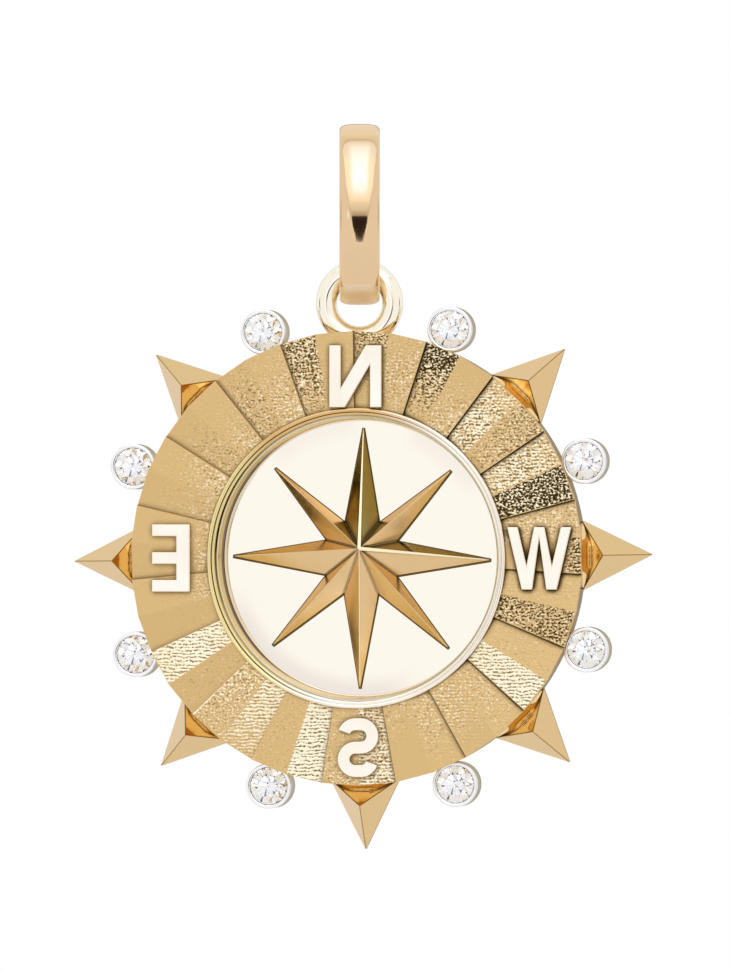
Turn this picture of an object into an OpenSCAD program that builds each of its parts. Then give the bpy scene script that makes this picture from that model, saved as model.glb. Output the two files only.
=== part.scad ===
// Compass pendant: a medallion with a pleated ring, raised letters, seven
// pointed rays and eight small round stones, hanging by its loop on an oval
// bail. Millimetres. The origin is the top of the inside of the bail, where a
// chain carries it. +Z is up, and the face of the medallion looks along -Y.

/* [Bail] */
// Height of the bail, outside
bail_h = 7.96; // [7:0.1:9]
// Depth of the bail from front to back, outside
bail_d = 5.2; // [4.6:0.1:5.4]
// Width of the bail's band
bail_w = 1.76; // [1.5:0.02:1.9]
// Thickness of the band at its middle
bail_t = 0.55; // [0.45:0.01:0.65]
// Thickness of the band's straight edges
bail_edge_t = 0.26; // [0.22:0.01:0.32]
// Rounding of the band's inner edges
bail_corner = 0.2; // [0.1:0.01:0.22]
// Turn of the bail about the upright, away from the medallion's face
bail_turn = 7.5; // [0:0.5:8]

/* [Loop] */
// Thickness of the loop's round wire
loop_wire = 0.91; // [0.8:0.01:1]
// Height of the loop's centre above the underside of the bail
loop_rise = 0.07; // [0.02:0.01:0.12]
// How deep the loop is let into the edge of the disc
loop_sink = 0.62; // [0.4:0.02:0.8]

/* [Disc] */
// Diameter of the disc behind its pleated face
disc_d = 19.8; // [19:0.1:20.5]
// Thickness of the disc from its back to the middle of its pleats
disc_t = 2.4; // [2.2:0.05:2.6]
// Bevel of the disc's back edge
disc_bevel = 0.15; // [0.05:0.01:0.25]

/* [Pleats] */
// Number of pleats, each of two facets
pleats = 19; // [15:1:23]
// Turn of the first step from the top, clockwise
pleat_turn = -0.8; // [-5:0.1:5]
// Height of a pleat before its step, above the middle of the face
pleat_high = 0.06; // [0.03:0.01:0.08]
// Depth of a pleat after its step, below the middle of the face
pleat_low = 0.1; // [0.04:0.01:0.14]
// Height of the fold halfway along a pleat, above the middle of the face
pleat_fold = 0.1; // [0.08:0.01:0.14]
// Thickness of the pleated plate at its middle
pleat_plate = 0.35; // [0.25:0.01:0.45]
// How far the pleats stand out past the disc's edge
pleat_over = 0.05; // [0.04:0.01:0.1]

/* [Recess and dish] */
// Radius of the recess inside its raised lip
recess_r = 6.28; // [6:0.02:6.4]
// Depth of the dish's floor below the middle of the face
recess_depth = 1.95; // [1.7:0.05:2]
// Width of the rounded lip round the recess
lip_w = 0.34; // [0.26:0.01:0.4]
// Thickness of the lip where the dish seats under it
lip_t = 0.3; // [0.2:0.01:0.4]
// Width of the seat under the lip
lip_seat = 0.14; // [0.1:0.01:0.2]
// Wall of the dish at its upper edge
dish_wall = 0.2; // [0.16:0.01:0.26]
// Slope of the dish's wall, from its upper edge to its foot
dish_slope = 0.05; // [0.03:0.01:0.15]
// Rounding between the dish's wall and its floor
dish_cove = 0.08; // [0.05:0.01:0.25]

/* [Star] */
// Reach of the four main arms from the centre
star_main_r = 5.7; // [5.2:0.02:5.8]
// Reach of the four lesser arms
star_less_r = 5.5; // [4.8:0.02:5.6]
// Distance of the notches between the arms from the centre
star_notch_r = 1.74; // [1.5:0.02:2]
// Angle of a notch from its main arm
star_notch_turn = 26; // [24:0.5:28]
// Turn of the whole star, clockwise
star_turn = 0.8; // [-5:0.1:5]
// Width of the arms' blunt tips
star_tip_w = 0.12; // [0.06:0.01:0.2]
// Height of the star's peak above the floor
star_h = 0.95; // [0.7:0.05:1.2]
// How far the peak lies above the middle of the star
star_peak_up = 0.42; // [0:0.02:0.6]

/* [Rays] */
// Turn of the ring of rays and cups, clockwise
ring_turn = -0.7; // [-5:0.1:5]
// How far the rays' tips reach beyond the edge of the disc
ray_reach = 2.96; // [2.6:0.02:3.4]
// How far the rays' ridge peaks lie beyond the edge of the disc
ray_peak_out = 0.98; // [0.7:0.02:1.2]
// How far the rays' foot line lies inside the edge of the disc
ray_foot_in = 0.16; // [0.14:0.01:0.3]
// Width of a ray at its foot line
ray_w = 3.1; // [2.8:0.05:3.3]
// Height of the ridge peak above the back of the disc
ray_h = 2.25; // [1.8:0.05:2.4]
// Thickness of a ray's outer edges
ray_edge = 0.3; // [0.2:0.02:0.4]
// How far a ray runs on into the disc
ray_root = 0.7; // [0.4:0.05:1]

/* [Stones] */
// Diameter of a stone
stone_d = 1.66; // [1.5:0.01:1.8]
// Wall of a stone's cup
cup_wall = 0.14; // [0.12:0.01:0.18]
// How far a cup is let into the edge of the disc
cup_sink = 0.08; // [0.06:0.01:0.12]
// Height of a cup above the back of the disc
cup_h = 1.4; // [1.3:0.05:1.6]
// How far a stone's girdle lies below the rim of its cup
cup_lip = 0.08; // [0.05:0.01:0.12]
// Diameter of the opening in the back of a cup
cup_hole = 0.7; // [0.4:0.02:0.8]

/* [Letters] */
// How far the letters stand above the middle of the face
letter_h = 0.28; // [0.2:0.01:0.35]
// Width of the letters' strokes
letter_stroke = 0.53; // [0.45:0.01:0.58]
// Height of the letter at the top
north_h = 2.73; // [2.5:0.02:2.76]
// Width of the letter at the top
north_w = 2.33; // [2.1:0.02:2.5]
// Distance of the letter at the top from the centre
north_r = 7.98; // [7.96:0.01:8.2]
// Height of the letter at the left
east_h = 2.97; // [2.7:0.02:3.1]
// Width of the letter at the left
east_w = 1.7; // [1.5:0.02:1.9]
// Width of the upright stroke of the letter at the left
east_stem = 0.62; // [0.5:0.01:0.7]
// Distance of the letter at the left from the centre
east_r = 8.18; // [8:0.01:8.3]
// Height of the letter at the right
west_h = 2.75; // [2.5:0.02:2.9]
// Width of the letter at the right
west_w = 2.84; // [2.6:0.02:2.86]
// Distance of the letter at the right from the centre
west_r = 8.12; // [8.08:0.01:8.16]
// Height of the letter at the bottom
south_h = 2.58; // [2.4:0.02:2.7]
// Width of the letter at the bottom
south_w = 1.8; // [1.7:0.02:2]
// Distance of the letter at the bottom from the centre
south_r = 8.34; // [8.1:0.01:8.4]

/* [Fits] */
// Clear space between the bail's band and the hole of the loop
link_gap = 0.08; // [0.06:0.01:0.12]
// Clear space round the dish in its bore
dish_gap = 0.04; // [0.03:0.01:0.06]
// Clear space round a stone in its cup
stone_gap = 0.03; // [0.02:0.01:0.05]

/* [Hidden] */

$fn = 96;
overlap = 0.05;     // how far pieces of one casting run into each other
through = 0.1;      // how far a cutter runs past the face that it cuts

gold = "#D9B87F";
bright_gold = "#E8CFA0";
clear_stone = "#F4F4EE";

// The shape of a round brilliant, as shares of its diameter
table_share = 0.57;
crown_share = 0.15;
girdle_share = 0.03;
pavilion_share = 0.43;
star_facet_share = 0.79;    // reach of the star facets, as a share of the radius
lower_facet_share = 0.22;   // reach of the pavilion's long facets, likewise

crown_fall = 0.8;       // how late the band's crown falls off to its edges
crown_square = 0.6;     // how square the band's section is, 1 being round
north_slope = 1.35;     // width of the sloping stroke of the letter at the top
west_foot = 0.19;       // place of the feet of the letter at the right
west_stroke = 0.9;      // its strokes, as a share of the others'
west_crotch = 1.2;      // depth of its middle peak, as a share of its strokes

bail_mid_z = bail_t - bail_h / 2;
bail_steps = 60;    // sections round the bail

// The loop's hole goes round the band with the link gap to spare
loop_seat = bail_t - loop_rise;
loop_hole_r = norm([bail_w / 2 - bail_corner, loop_seat - bail_corner])
    + bail_corner + link_gap;
loop_r = loop_hole_r + loop_wire / 2;
loop_z = -(bail_h - 2 * bail_t) - loop_seat;

disc_r = disc_d / 2;
disc_z = loop_z - loop_r - loop_wire / 2 - disc_r + loop_sink;
face = disc_t / 2;
back = -disc_t / 2;
plate_bottom = face - pleat_plate;
seat_z = face - lip_t;
bore_r = recess_r + lip_seat;
lip_mid_r = recess_r + lip_w / 2;
pleat_in_r = lip_mid_r + lip_w / 4;
pleat_out_r = (disc_r + pleat_over) / cos(90 / pleats);

dish_r = bore_r - dish_gap;
dish_top = seat_z - dish_gap;
floor_z = face - recess_depth;
wall_in_r = dish_r - dish_wall;
floor_r = wall_in_r - dish_slope;

ray_tip_r = disc_r + ray_reach;
ray_peak_r = disc_r + ray_peak_out;
ray_foot_r = disc_r - ray_foot_in;

cup_r = stone_d / 2 + stone_gap + cup_wall;
stone_r = disc_r + cup_r - cup_sink;
cup_top = back + cup_h;
girdle_z = cup_top - cup_lip;
pavilion_h = pavilion_share * stone_d;

// A flat shape on the disc's face plane: x to the right, y up, z to the front
module face_on() {
    translate([0, 0, disc_z]) rotate([90, 0, 0]) children();
}

// A child drawn along +X is set along a ray, clockwise from the top
module at_clock(angle) {
    rotate([0, 0, 90 - angle]) children();
}

// A child drawn along +X is set along the middle line of a cup. The cups are
// numbered clockwise from the top.
module at_cup(i) {
    at_clock(ring_turn + 45 * i - 22.5) children();
}

// Signed power, for the squarish crown of the band
function signed_power(v, p) = sign(v) * pow(abs(v), p);

// Section of the band: crowned outside, flat inside with rounded edges. Each
// point is how far it lies inside the oval, and how far across the band.
band_section = concat(
    [for (a = [0:15:180])
        [(bail_t - bail_edge_t) * (1 - pow(sin(a), crown_fall)),
         bail_w / 2 * signed_power(cos(a), crown_square)]],
    [for (a = [0:30:90])
        [bail_t - bail_corner * (1 - sin(a)),
         -bail_w / 2 + bail_corner * (1 - cos(a))]],
    [for (a = [90:-30:0])
        [bail_t - bail_corner * (1 - sin(a)),
         bail_w / 2 - bail_corner * (1 - cos(a))]]
);

// A point of the oval's outside and its outward direction, seen from the side
function oval_point(a) = [bail_d / 2 * cos(a), bail_h / 2 * sin(a)];
function oval_out(a) = let (v = [cos(a) / bail_d, sin(a) / bail_h]) v / norm(v);

// The band's section is carried round the oval
module bail() {
    count = len(band_section);
    points = [for (k = [0:bail_steps - 1])
        let (a = 360 * k / bail_steps, p = oval_point(a), out = oval_out(a))
        for (q = band_section) [q[1], p[0] - q[0] * out[0], p[1] - q[0] * out[1]]];
    faces = [for (k = [0:bail_steps - 1], i = [0:count - 1])
        let (k1 = (k + 1) % bail_steps, i1 = (i + 1) % count)
        each [[k * count + i, k1 * count + i, k1 * count + i1],
              [k * count + i, k1 * count + i1, k * count + i1]]];
    color(bright_gold)
    translate([0, 0, bail_mid_z]) rotate([0, 0, bail_turn])
        polyhedron(points, faces);
}

// The loop is soldered into the top edge of the disc
module loop() {
    translate([0, loop_z - disc_z, 0])
        rotate_extrude() translate([loop_r, 0]) circle(d = loop_wire, $fn = 32);
}

// A point of the pleated ring. Its rise over the middle of the face grows with
// the distance from the centre, so that each facet is a true plane.
function ring_point(r, angle, rise) =
    [r * sin(angle), r * cos(angle), face + rise * r / pleat_out_r];
function ring_foot(r, angle) = [r * sin(angle), r * cos(angle), plate_bottom];

// Ten points for each pleat: feet, low points and high points at its step,
// then feet and tops at its fold, the inner one of each pair first.
module pleated_ring() {
    step_angle = 360 / pleats;
    points = [for (k = [0:pleats - 1])
        let (a = pleat_turn + k * step_angle, f = a + step_angle / 2)
        each [
            ring_foot(pleat_in_r, a), ring_foot(pleat_out_r, a),
            ring_point(pleat_in_r, a, -pleat_low),
            ring_point(pleat_out_r, a, -pleat_low),
            ring_point(pleat_in_r, a, pleat_high),
            ring_point(pleat_out_r, a, pleat_high),
            ring_foot(pleat_in_r, f), ring_foot(pleat_out_r, f),
            ring_point(pleat_in_r, f, pleat_fold),
            ring_point(pleat_out_r, f, pleat_fold)
        ]];
    faces = [for (k = [0:pleats - 1])
        let (p = 10 * k, n = 10 * ((k + 1) % pleats))
        each [
            [p + 2, p + 3, p + 9, p + 8],
            [p + 8, p + 9, n + 5, n + 4],
            [p + 2, p + 4, p + 5, p + 3],
            [p + 1, p + 7, p + 9, p + 3],
            [p + 7, n + 1, n + 3, n + 5, p + 9],
            [p + 0, p + 2, p + 8, p + 6],
            [p + 6, p + 8, n + 4, n + 2, n + 0],
            [p + 0, p + 6, p + 7, p + 1],
            [p + 6, n + 0, n + 1, p + 7]
        ]];
    polyhedron(points, faces);
}

// Cuts away what lies above the plane that rises from the line between two
// points, which pass the ray's middle on their left, up to the ridge peak.
module slope_cut(from, to) {
    along = to - from;
    peak = [ray_peak_r, 0] - from;
    reach = (along[0] * peak[1] - along[1] * peak[0]) / norm(along);
    tilt = atan2(ray_h - ray_edge, reach);
    translate([from[0], from[1], back + ray_edge])
        rotate([0, 0, atan2(along[1], along[0])]) rotate([tilt, 0, 0])
            translate([-ray_tip_r, -ray_h, 0]) cube([3 * ray_tip_r, 3 * ray_h, 3 * ray_h]);
}

// A ray: a three-cornered plate that rises to a ridged peak. Its inner facet
// falls from the peak to the foot line beside the disc.
module ray() {
    tip = [ray_tip_r, 0];
    left = [ray_foot_r, ray_w / 2];
    right = [ray_foot_r, -ray_w / 2];
    difference() {
        translate([0, 0, back]) linear_extrude(ray_h + through) polygon([tip, left, right]);
        slope_cut(tip, left);
        slope_cut(left, right);
        slope_cut(right, tip);
    }
    translate([ray_foot_r - ray_root, ray_edge - ray_w / 2, back])
        cube([ray_root + overlap, ray_w - 2 * ray_edge, ray_edge]);
}

// Upright strokes and a slope that climbs to the right
module letter_north() {
    half_w = north_w / 2;
    half_h = north_h / 2;
    slope_w = north_slope * letter_stroke;
    translate([-half_w, -half_h]) square([letter_stroke, north_h]);
    translate([half_w - letter_stroke, -half_h]) square([letter_stroke, north_h]);
    polygon([[-half_w, -half_h], [slope_w - half_w, -half_h],
             [half_w, half_h], [half_w - slope_w, half_h]]);
}

// An upright stroke on the right with three arms to the left
module letter_east() {
    half_w = east_w / 2;
    translate([half_w - east_stem, -east_h / 2]) square([east_stem, east_h]);
    for (lift = [0, 0.5, 1])
        translate([-half_w, -east_h / 2 + lift * (east_h - letter_stroke)])
            square([east_w - overlap, letter_stroke]);
}

// Four slanting strokes
module letter_west() {
    half_h = west_h / 2;
    stroke = west_stroke * letter_stroke;
    foot = west_foot * west_w;
    for (side = [-1, 1]) {
        polygon([[side * west_w / 2, half_h],
                 [side * (west_w / 2 - stroke), half_h],
                 [side * (foot - stroke / 2), -half_h],
                 [side * (foot + stroke / 2), -half_h]]);
        polygon([[0, half_h], [side * stroke / 2, half_h],
                 [side * (foot + stroke / 2), -half_h],
                 [side * (foot - stroke / 2), -half_h],
                 [0, half_h - west_crotch * stroke]]);
    }
}

// Middle line of the letter at the bottom: two bowls joined by a bar. Each
// entry is a point and the direction of the stroke's normal there.
function bowl_line(centre, r, from, to) =
    [for (i = [0:8]) let (a = from + (to - from) * i / 8)
        [[centre[0] + r * cos(a), centre[1] + r * sin(a)], a]];

module letter_south() {
    r = (south_h - letter_stroke) / 4;
    reach = south_w / 2 - letter_stroke / 2 - r;
    half = letter_stroke / 2;
    line = concat(
        bowl_line([-reach, r], r, 160, 90), bowl_line([reach, r], r, 90, -90),
        [for (p = concat(bowl_line([-reach, -r], r, 90, 270),
                         bowl_line([reach, -r], r, 270, 340))) [p[0], p[1] + 180]]);
    polygon(concat(
        [for (p = line) p[0] + half * [cos(p[1]), sin(p[1])]],
        [for (i = [len(line) - 1:-1:0])
            line[i][0] - half * [cos(line[i][1]), sin(line[i][1])]]));
}

// The four letters stand upright on the pleats
module letters() {
    translate([0, 0, plate_bottom]) linear_extrude(pleat_plate + letter_h) {
        translate([0, north_r]) letter_north();
        translate([-east_r, 0]) letter_east();
        translate([west_r, 0]) letter_west();
        translate([0, -south_r]) letter_south();
    }
}

// Solid of one stone's cup, and what is cut out of it
module cup() {
    translate([stone_r, 0, back]) cylinder(h = cup_h, r = cup_r, $fn = 64);
}
module cup_pocket() {
    seat_r = stone_d / 2 + stone_gap;
    low = girdle_z - girdle_share * stone_d / 2 - pavilion_h - stone_gap;
    translate([stone_r, 0, 0]) {
        translate([0, 0, low])
            cylinder(h = pavilion_h, r1 = stone_gap, r2 = seat_r, $fn = 64);
        translate([0, 0, low + pavilion_h])
            cylinder(h = cup_top - low - pavilion_h + through, r = seat_r, $fn = 64);
        translate([0, 0, back - through])
            cylinder(h = low + pavilion_h / 2 - back + through, d = cup_hole, $fn = 48);
    }
}

// The disc with its bevelled back edge and the rounded lip of its recess
module disc() {
    translate([0, 0, back])
        cylinder(h = disc_bevel, r1 = disc_r - disc_bevel, r2 = disc_r);
    translate([0, 0, back + disc_bevel])
        cylinder(h = disc_t - disc_bevel - pleat_plate + overlap, r = disc_r);
    cylinder(h = face, r = recess_r + lip_w);
    translate([0, 0, face])
        rotate_extrude() translate([lip_mid_r, 0]) circle(d = lip_w, $fn = 32);
}

module medallion() {
    color(gold)
    face_on() difference() {
        union() {
            disc();
            pleated_ring();
            letters();
            loop();
            for (i = [1:7]) at_clock(ring_turn + 45 * i) ray();
            for (i = [1:8]) at_cup(i) cup();
        }
        translate([0, 0, back - through])
            cylinder(h = seat_z - back + through, r = bore_r);
        cylinder(h = disc_t, r = recess_r);
        for (i = [1:8]) at_cup(i) cup_pocket();
    }
}

// A point at a radius and an angle clockwise from the star's upper arm, set
// aside by a length at right angles
function star_point(r, turn, aside = 0) =
    let (angle = star_turn + turn)
    [r * sin(angle) + aside * cos(angle), r * cos(angle) - aside * sin(angle)];

// Blunt tips and notches of the star in turn, clockwise from the top
star_outline = [for (i = [0:7])
    let (turn = 45 * i,
         r = i % 2 == 0 ? star_main_r : star_less_r,
         notch = i % 2 == 0 ? star_notch_turn : 45 - star_notch_turn)
    each [star_point(r, turn, -star_tip_w / 2), star_point(r, turn, star_tip_w / 2),
          star_point(star_notch_r, turn + notch)]];

// The star's arms fall from its peak to their tips, with a narrow flat facet
// along the top of each
module star() {
    foot_z = floor_z - overlap;
    count = len(star_outline);
    polyhedron(
        concat([for (p = star_outline) [p[0], p[1], foot_z]],
               [for (p = star_outline) [p[0], p[1], floor_z]],
               [[0, 0, foot_z], [0, star_peak_up, floor_z + star_h]]),
        [for (i = [0:count - 1]) let (n = (i + 1) % count) each [
            [i, 2 * count, n], [i, n, count + n, count + i],
            [count + i, count + n, 2 * count + 1]]]);
}

module star_dish() {
    color(bright_gold)
    face_on() {
        rotate_extrude() polygon(concat(
            [[0, back], [dish_r, back], [dish_r, dish_top],
             [wall_in_r, dish_top]],
            [for (a = [0:30:90])
                [floor_r - dish_cove + dish_cove * cos(a),
                 floor_z + dish_cove - dish_cove * sin(a)]],
            [[0, floor_z]]));
        star();
    }
}

// A round brilliant: table, eight star facets, eight kites, girdle, and a
// pavilion of eight long facets. Its girdle is at z = 0 and its table is up.
module brilliant() {
    r = stone_d / 2;
    top_z = girdle_share * r;
    low_z = -top_z;
    table_r = table_share * r;
    table_z = top_z + crown_share * stone_d;
    star_r = star_facet_share * r;
    star_z = table_z + (top_z - table_z)
        * (star_r * cos(22.5) - table_r) / (r - table_r);
    culet_z = low_z - pavilion_h;
    deep_r = lower_facet_share * r;
    deep_z = culet_z + pavilion_h * deep_r * cos(22.5) / r;
    eighth = [for (i = [0:7]) 45 * i];
    polyhedron(
        concat(
            [for (a = eighth) [table_r * cos(a), table_r * sin(a), table_z]],
            [for (a = eighth) [star_r * cos(a + 22.5), star_r * sin(a + 22.5), star_z]],
            [for (i = [0:15]) [r * cos(22.5 * i), r * sin(22.5 * i), top_z]],
            [for (i = [0:15]) [r * cos(22.5 * i), r * sin(22.5 * i), low_z]],
            [for (a = eighth) [deep_r * cos(a + 22.5), deep_r * sin(a + 22.5), deep_z]],
            [[0, 0, culet_z]]),
        concat(
            [[7, 6, 5, 4, 3, 2, 1, 0]],
            [for (i = [0:7]) let (
                n = (i + 1) % 8, b = (i + 7) % 8,
                g = 16 + 2 * i, g1 = g + 1, g2 = 16 + (2 * i + 2) % 16,
                h = g + 16, h1 = g1 + 16, h2 = g2 + 16,
                s = 8 + i, sb = 8 + b, d = 48 + i, db = 48 + b)
            each [
                [i, n, s], [i, s, g], [i, g, sb],
                [s, g1, g], [s, g2, g1],
                [g, g1, h1, h], [g1, g2, h2, h1],
                [d, h, h1], [d, h1, h2], [56, h, d], [56, db, h]
            ]]));
}

module stone(i) {
    color(clear_stone)
    face_on() at_cup(i)
        translate([stone_r, 0, girdle_z]) brilliant();
}

bail();
medallion();
star_dish();
for (i = [1:8])
    stone(i);
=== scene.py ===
"""Compass pendant: a medallion with a pleated ring, raised letters, rays, stones
and a ridged star in a polished dish, hanging by its loop on an oval bail.

Sizes are in millimetres and turn to metres when a piece is made. The face frame
of the medallion has x to the right, y up and z to the front. Clock angles are in
degrees, clockwise from the top of the face.
"""
import logging
import math
from dataclasses import dataclass, field
from enum import Enum
from typing import Any, Callable, Optional, Sequence

import bmesh
import bpy
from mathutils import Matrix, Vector, noise


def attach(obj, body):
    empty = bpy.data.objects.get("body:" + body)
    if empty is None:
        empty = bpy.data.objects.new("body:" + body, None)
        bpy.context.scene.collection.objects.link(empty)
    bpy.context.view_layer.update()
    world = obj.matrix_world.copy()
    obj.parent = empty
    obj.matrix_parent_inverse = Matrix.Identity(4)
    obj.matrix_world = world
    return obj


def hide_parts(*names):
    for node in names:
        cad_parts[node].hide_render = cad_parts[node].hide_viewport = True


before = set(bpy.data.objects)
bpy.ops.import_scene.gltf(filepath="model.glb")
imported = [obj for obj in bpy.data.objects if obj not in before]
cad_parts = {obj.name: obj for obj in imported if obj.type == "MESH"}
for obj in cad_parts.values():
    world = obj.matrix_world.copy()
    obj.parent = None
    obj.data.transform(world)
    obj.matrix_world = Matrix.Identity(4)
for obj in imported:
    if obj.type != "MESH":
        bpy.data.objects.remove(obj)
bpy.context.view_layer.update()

Pair = tuple[float, float]
Triple = tuple[float, float, float]
Flat = Pair
Point = Triple
Colour = tuple[float, float, float, float]
Socket = bpy.types.NodeSocket

MM = 0.001
SAME_SPOT = 1e-7    # metres within which two points of a mesh are one
EIGHTH = 45.0       # degrees between two of the compass's eight directions
log = logging.getLogger("pendant")


# Helpers


def linear(hex_colour: str) -> Colour:
    """Turns an sRGB hex colour to linear light.

    Args:
        hex_colour: the colour as "#RRGGBB".

    Returns:
        Red, green, blue and an alpha of 1, in linear light.
    """
    parts = [int(hex_colour[i:i + 2], 16) / 255 for i in (1, 3, 5)]
    red, green, blue = [p / 12.92 if p <= 0.04045 else ((p + 0.055) / 1.055) ** 2.4
                        for p in parts]
    return red, green, blue, 1.0


def blend(low: float, high: float, share: float) -> float:
    """Returns the value that lies a share of the way from low to high."""
    return low + (high - low) * share


def soft_step(value: float, start: float, end: float) -> float:
    """Returns 0 before start, 1 beyond end, and an even S-curve between them."""
    share = min(1.0, max(0.0, (value - start) / (end - start)))
    return share * share * (3 - 2 * share)


def on_clock(radius: float, angle: float) -> Flat:
    """Returns the flat point at a radius and a clock angle."""
    turn = math.radians(angle)
    return radius * math.sin(turn), radius * math.cos(turn)


def clock_angle(x: float, y: float) -> float:
    """Returns the clock angle of a flat point."""
    return math.degrees(math.atan2(x, y))


def away(angle: float, middle: float, reach: float, near: float = 0.6) -> float:
    """Returns 0 near a clock angle and 1 beyond a reach to each side of it."""
    return soft_step(abs((angle - middle + 180) % 360 - 180), near * reach, reach)


def arc(centre: Flat, radius: float, first: float, last: float, steps: int) -> list[Flat]:
    """Draws an arc.

    Args:
        centre: its centre.
        radius: its radius.
        first: angle of its first point, in degrees from x towards y.
        last: angle of its last point.
        steps: number of steps between them.

    Returns:
        Its points, one more than the steps.
    """
    turns = [math.radians(blend(first, last, k / steps)) for k in range(steps + 1)]
    return [(centre[0] + radius * math.cos(turn), centre[1] + radius * math.sin(turn))
            for turn in turns]


def fill(node: bpy.types.Node, inputs: dict[Any, Any]) -> None:
    """Sets a node's inputs, and links those that get a socket.

    Args:
        node: the node.
        inputs: for each input's name or number, a value or a socket to link.
    """
    for key, value in inputs.items():
        if isinstance(value, Socket):
            node.id_data.links.new(value, node.inputs[key])
        else:
            node.inputs[key].default_value = value


def add_node(tree: bpy.types.NodeTree, kind: str, inputs: Optional[dict[Any, Any]] = None,
             out: Any = 0, **settings: Any) -> Optional[Socket]:
    """Adds a node to a tree, sets its options and fills its inputs.

    Args:
        tree: the node tree of a material or of the world.
        kind: the node's type name, without the leading "ShaderNode".
        inputs: for each input's name or number, a value or a socket to link.
        out: name or number of the output that is wanted.
        settings: options of the node, by their attribute names.

    Returns:
        The socket of that output, or None for a node without outputs.
    """
    node = tree.nodes.new("ShaderNode" + kind)
    for name, value in settings.items():
        setattr(node, name, value)
    fill(node, inputs or {})
    return node.outputs[out] if node.outputs else None


# Finishes


class Finish:
    """A node material whose patterns are measured in millimetres on the object."""

    name: str

    def make(self) -> bpy.types.Material:
        """Makes the material, unless another piece has it already.

        Returns:
            The material.
        """
        if self.name in bpy.data.materials:
            return bpy.data.materials[self.name]
        material = bpy.data.materials.new(self.name)
        material.use_nodes = True
        tree = material.node_tree
        place = add_node(tree, "TexCoord", out="Object")
        mm = add_node(tree, "VectorMath", {0: place, "Scale": 1 / MM}, operation="SCALE")
        fill(tree.nodes["Principled BSDF"], self.dress(tree, mm))
        return material

    def dress(self, tree: bpy.types.NodeTree, mm: Socket) -> dict[str, Any]:
        """Adds the nodes of the finish.

        Args:
            tree: the material's node tree.
            mm: the place on the object, in millimetres.

        Returns:
            The shader's inputs by name, each a value or a socket.
        """
        raise NotImplementedError


@dataclass(frozen=True)
class Tint:
    """Tones that take over where a mark of the mesh is 1."""

    mark: str
    metal: str
    deep: str
    rougher: float = 0.0    # added to the roughness


@dataclass(frozen=True)
class PolishedGold(Finish):
    """14 carat yellow gold, cast and then polished on a soft wheel.

    The eye sees a deep clear shine that hardly spreads, with faint hairlines from
    the wheel and a slow waviness of the hand-held surface. Corners get painted
    shade: a deeper tone where ambient occlusion finds little open sky.
    """

    name: str
    metal: str              # colour of the open metal
    deep: str               # painted shade: its colour in narrow corners
    roughness: float = 0.10
    haze: float = 0.05      # how much rougher the duller patches are
    haze_at: Pair = (0.35, 0.7)     # wave heights between which they set in
    wave_depth: float = 0.004   # mm
    wave_pitch: float = 1.6     # mm between waves
    hairline_depth: float = 0.0006  # mm
    hairline_pitch: float = 0.09    # mm; real ones are finer and don't show here
    hairline_squeeze: Triple = (1.0, 1.0, 0.12)  # of each axis: hairlines run along z
    shade_reach: float = 0.25      # mm from a corner over which the painted shade reaches
    shut_at: float = 0.25           # share of open sky at which the painted shade is full
    open_at: float = 0.85           # share of open sky from which none of it is left
    tints: tuple[Tint, ...] = ()

    def dress(self, tree: bpy.types.NodeTree, mm: Socket) -> dict[str, Any]:
        """Adds the waves, hairlines, painted shade in corners and tints.

        Args:
            tree: the material's node tree.
            mm: the place on the object, in millimetres.

        Returns:
            The shader's inputs by name.
        """
        wave = add_node(tree, "TexNoise", {"Vector": mm, "Scale": 1 / self.wave_pitch,
                                           "Detail": 2.0})
        along = add_node(tree, "VectorMath", {0: mm, 1: self.hairline_squeeze},
                         operation="MULTIPLY")
        hair = add_node(tree, "TexNoise", {"Vector": along, "Scale": 1 / self.hairline_pitch,
                                           "Detail": 3.0, "Distortion": 0.4})
        # Painted shade: the deep tone fills corners where little open sky is seen
        corner = add_node(tree, "AmbientOcclusion", {"Distance": self.shade_reach * MM},
                          "AO", samples=12)
        open_share = add_node(tree, "MapRange", {"Value": corner, "From Min": self.shut_at,
                                                 "From Max": self.open_at})
        rough = add_node(tree, "MapRange", {
            "Value": wave, "From Min": self.haze_at[0], "From Max": self.haze_at[1],
            "To Min": self.roughness, "To Max": self.roughness + self.haze})
        metal: Any = linear(self.metal)
        deep: Any = linear(self.deep)
        for tint in self.tints:
            share = add_node(tree, "Attribute", out="Fac", attribute_name=tint.mark)
            metal, deep = [add_node(tree, "Mix", {0: share, 6: tone, 7: linear(other)}, 2,
                                    data_type="RGBA")
                           for tone, other in ((metal, tint.metal), (deep, tint.deep))]
            rough = add_node(tree, "Math", {0: share, 1: tint.rougher, 2: rough},
                             operation="MULTIPLY_ADD")
        tone = add_node(tree, "Mix", {0: open_share, 6: deep, 7: metal}, 2, data_type="RGBA")
        low = add_node(tree, "Bump", {"Height": wave, "Strength": 1.0,
                                      "Distance": self.wave_depth * MM})
        fine = add_node(tree, "Bump", {"Height": hair, "Strength": 1.0, "Normal": low,
                                       "Distance": self.hairline_depth * MM})
        return {"Metallic": 1.0, "Base Color": tone, "Roughness": rough, "Normal": fine}


# Marks of the ring's mesh: the last four values of a Texture, and how dark the painted shadow at
# each step is
RING_MARKS = ("dents", "tops", "coarse", "rows", "steps")


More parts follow.
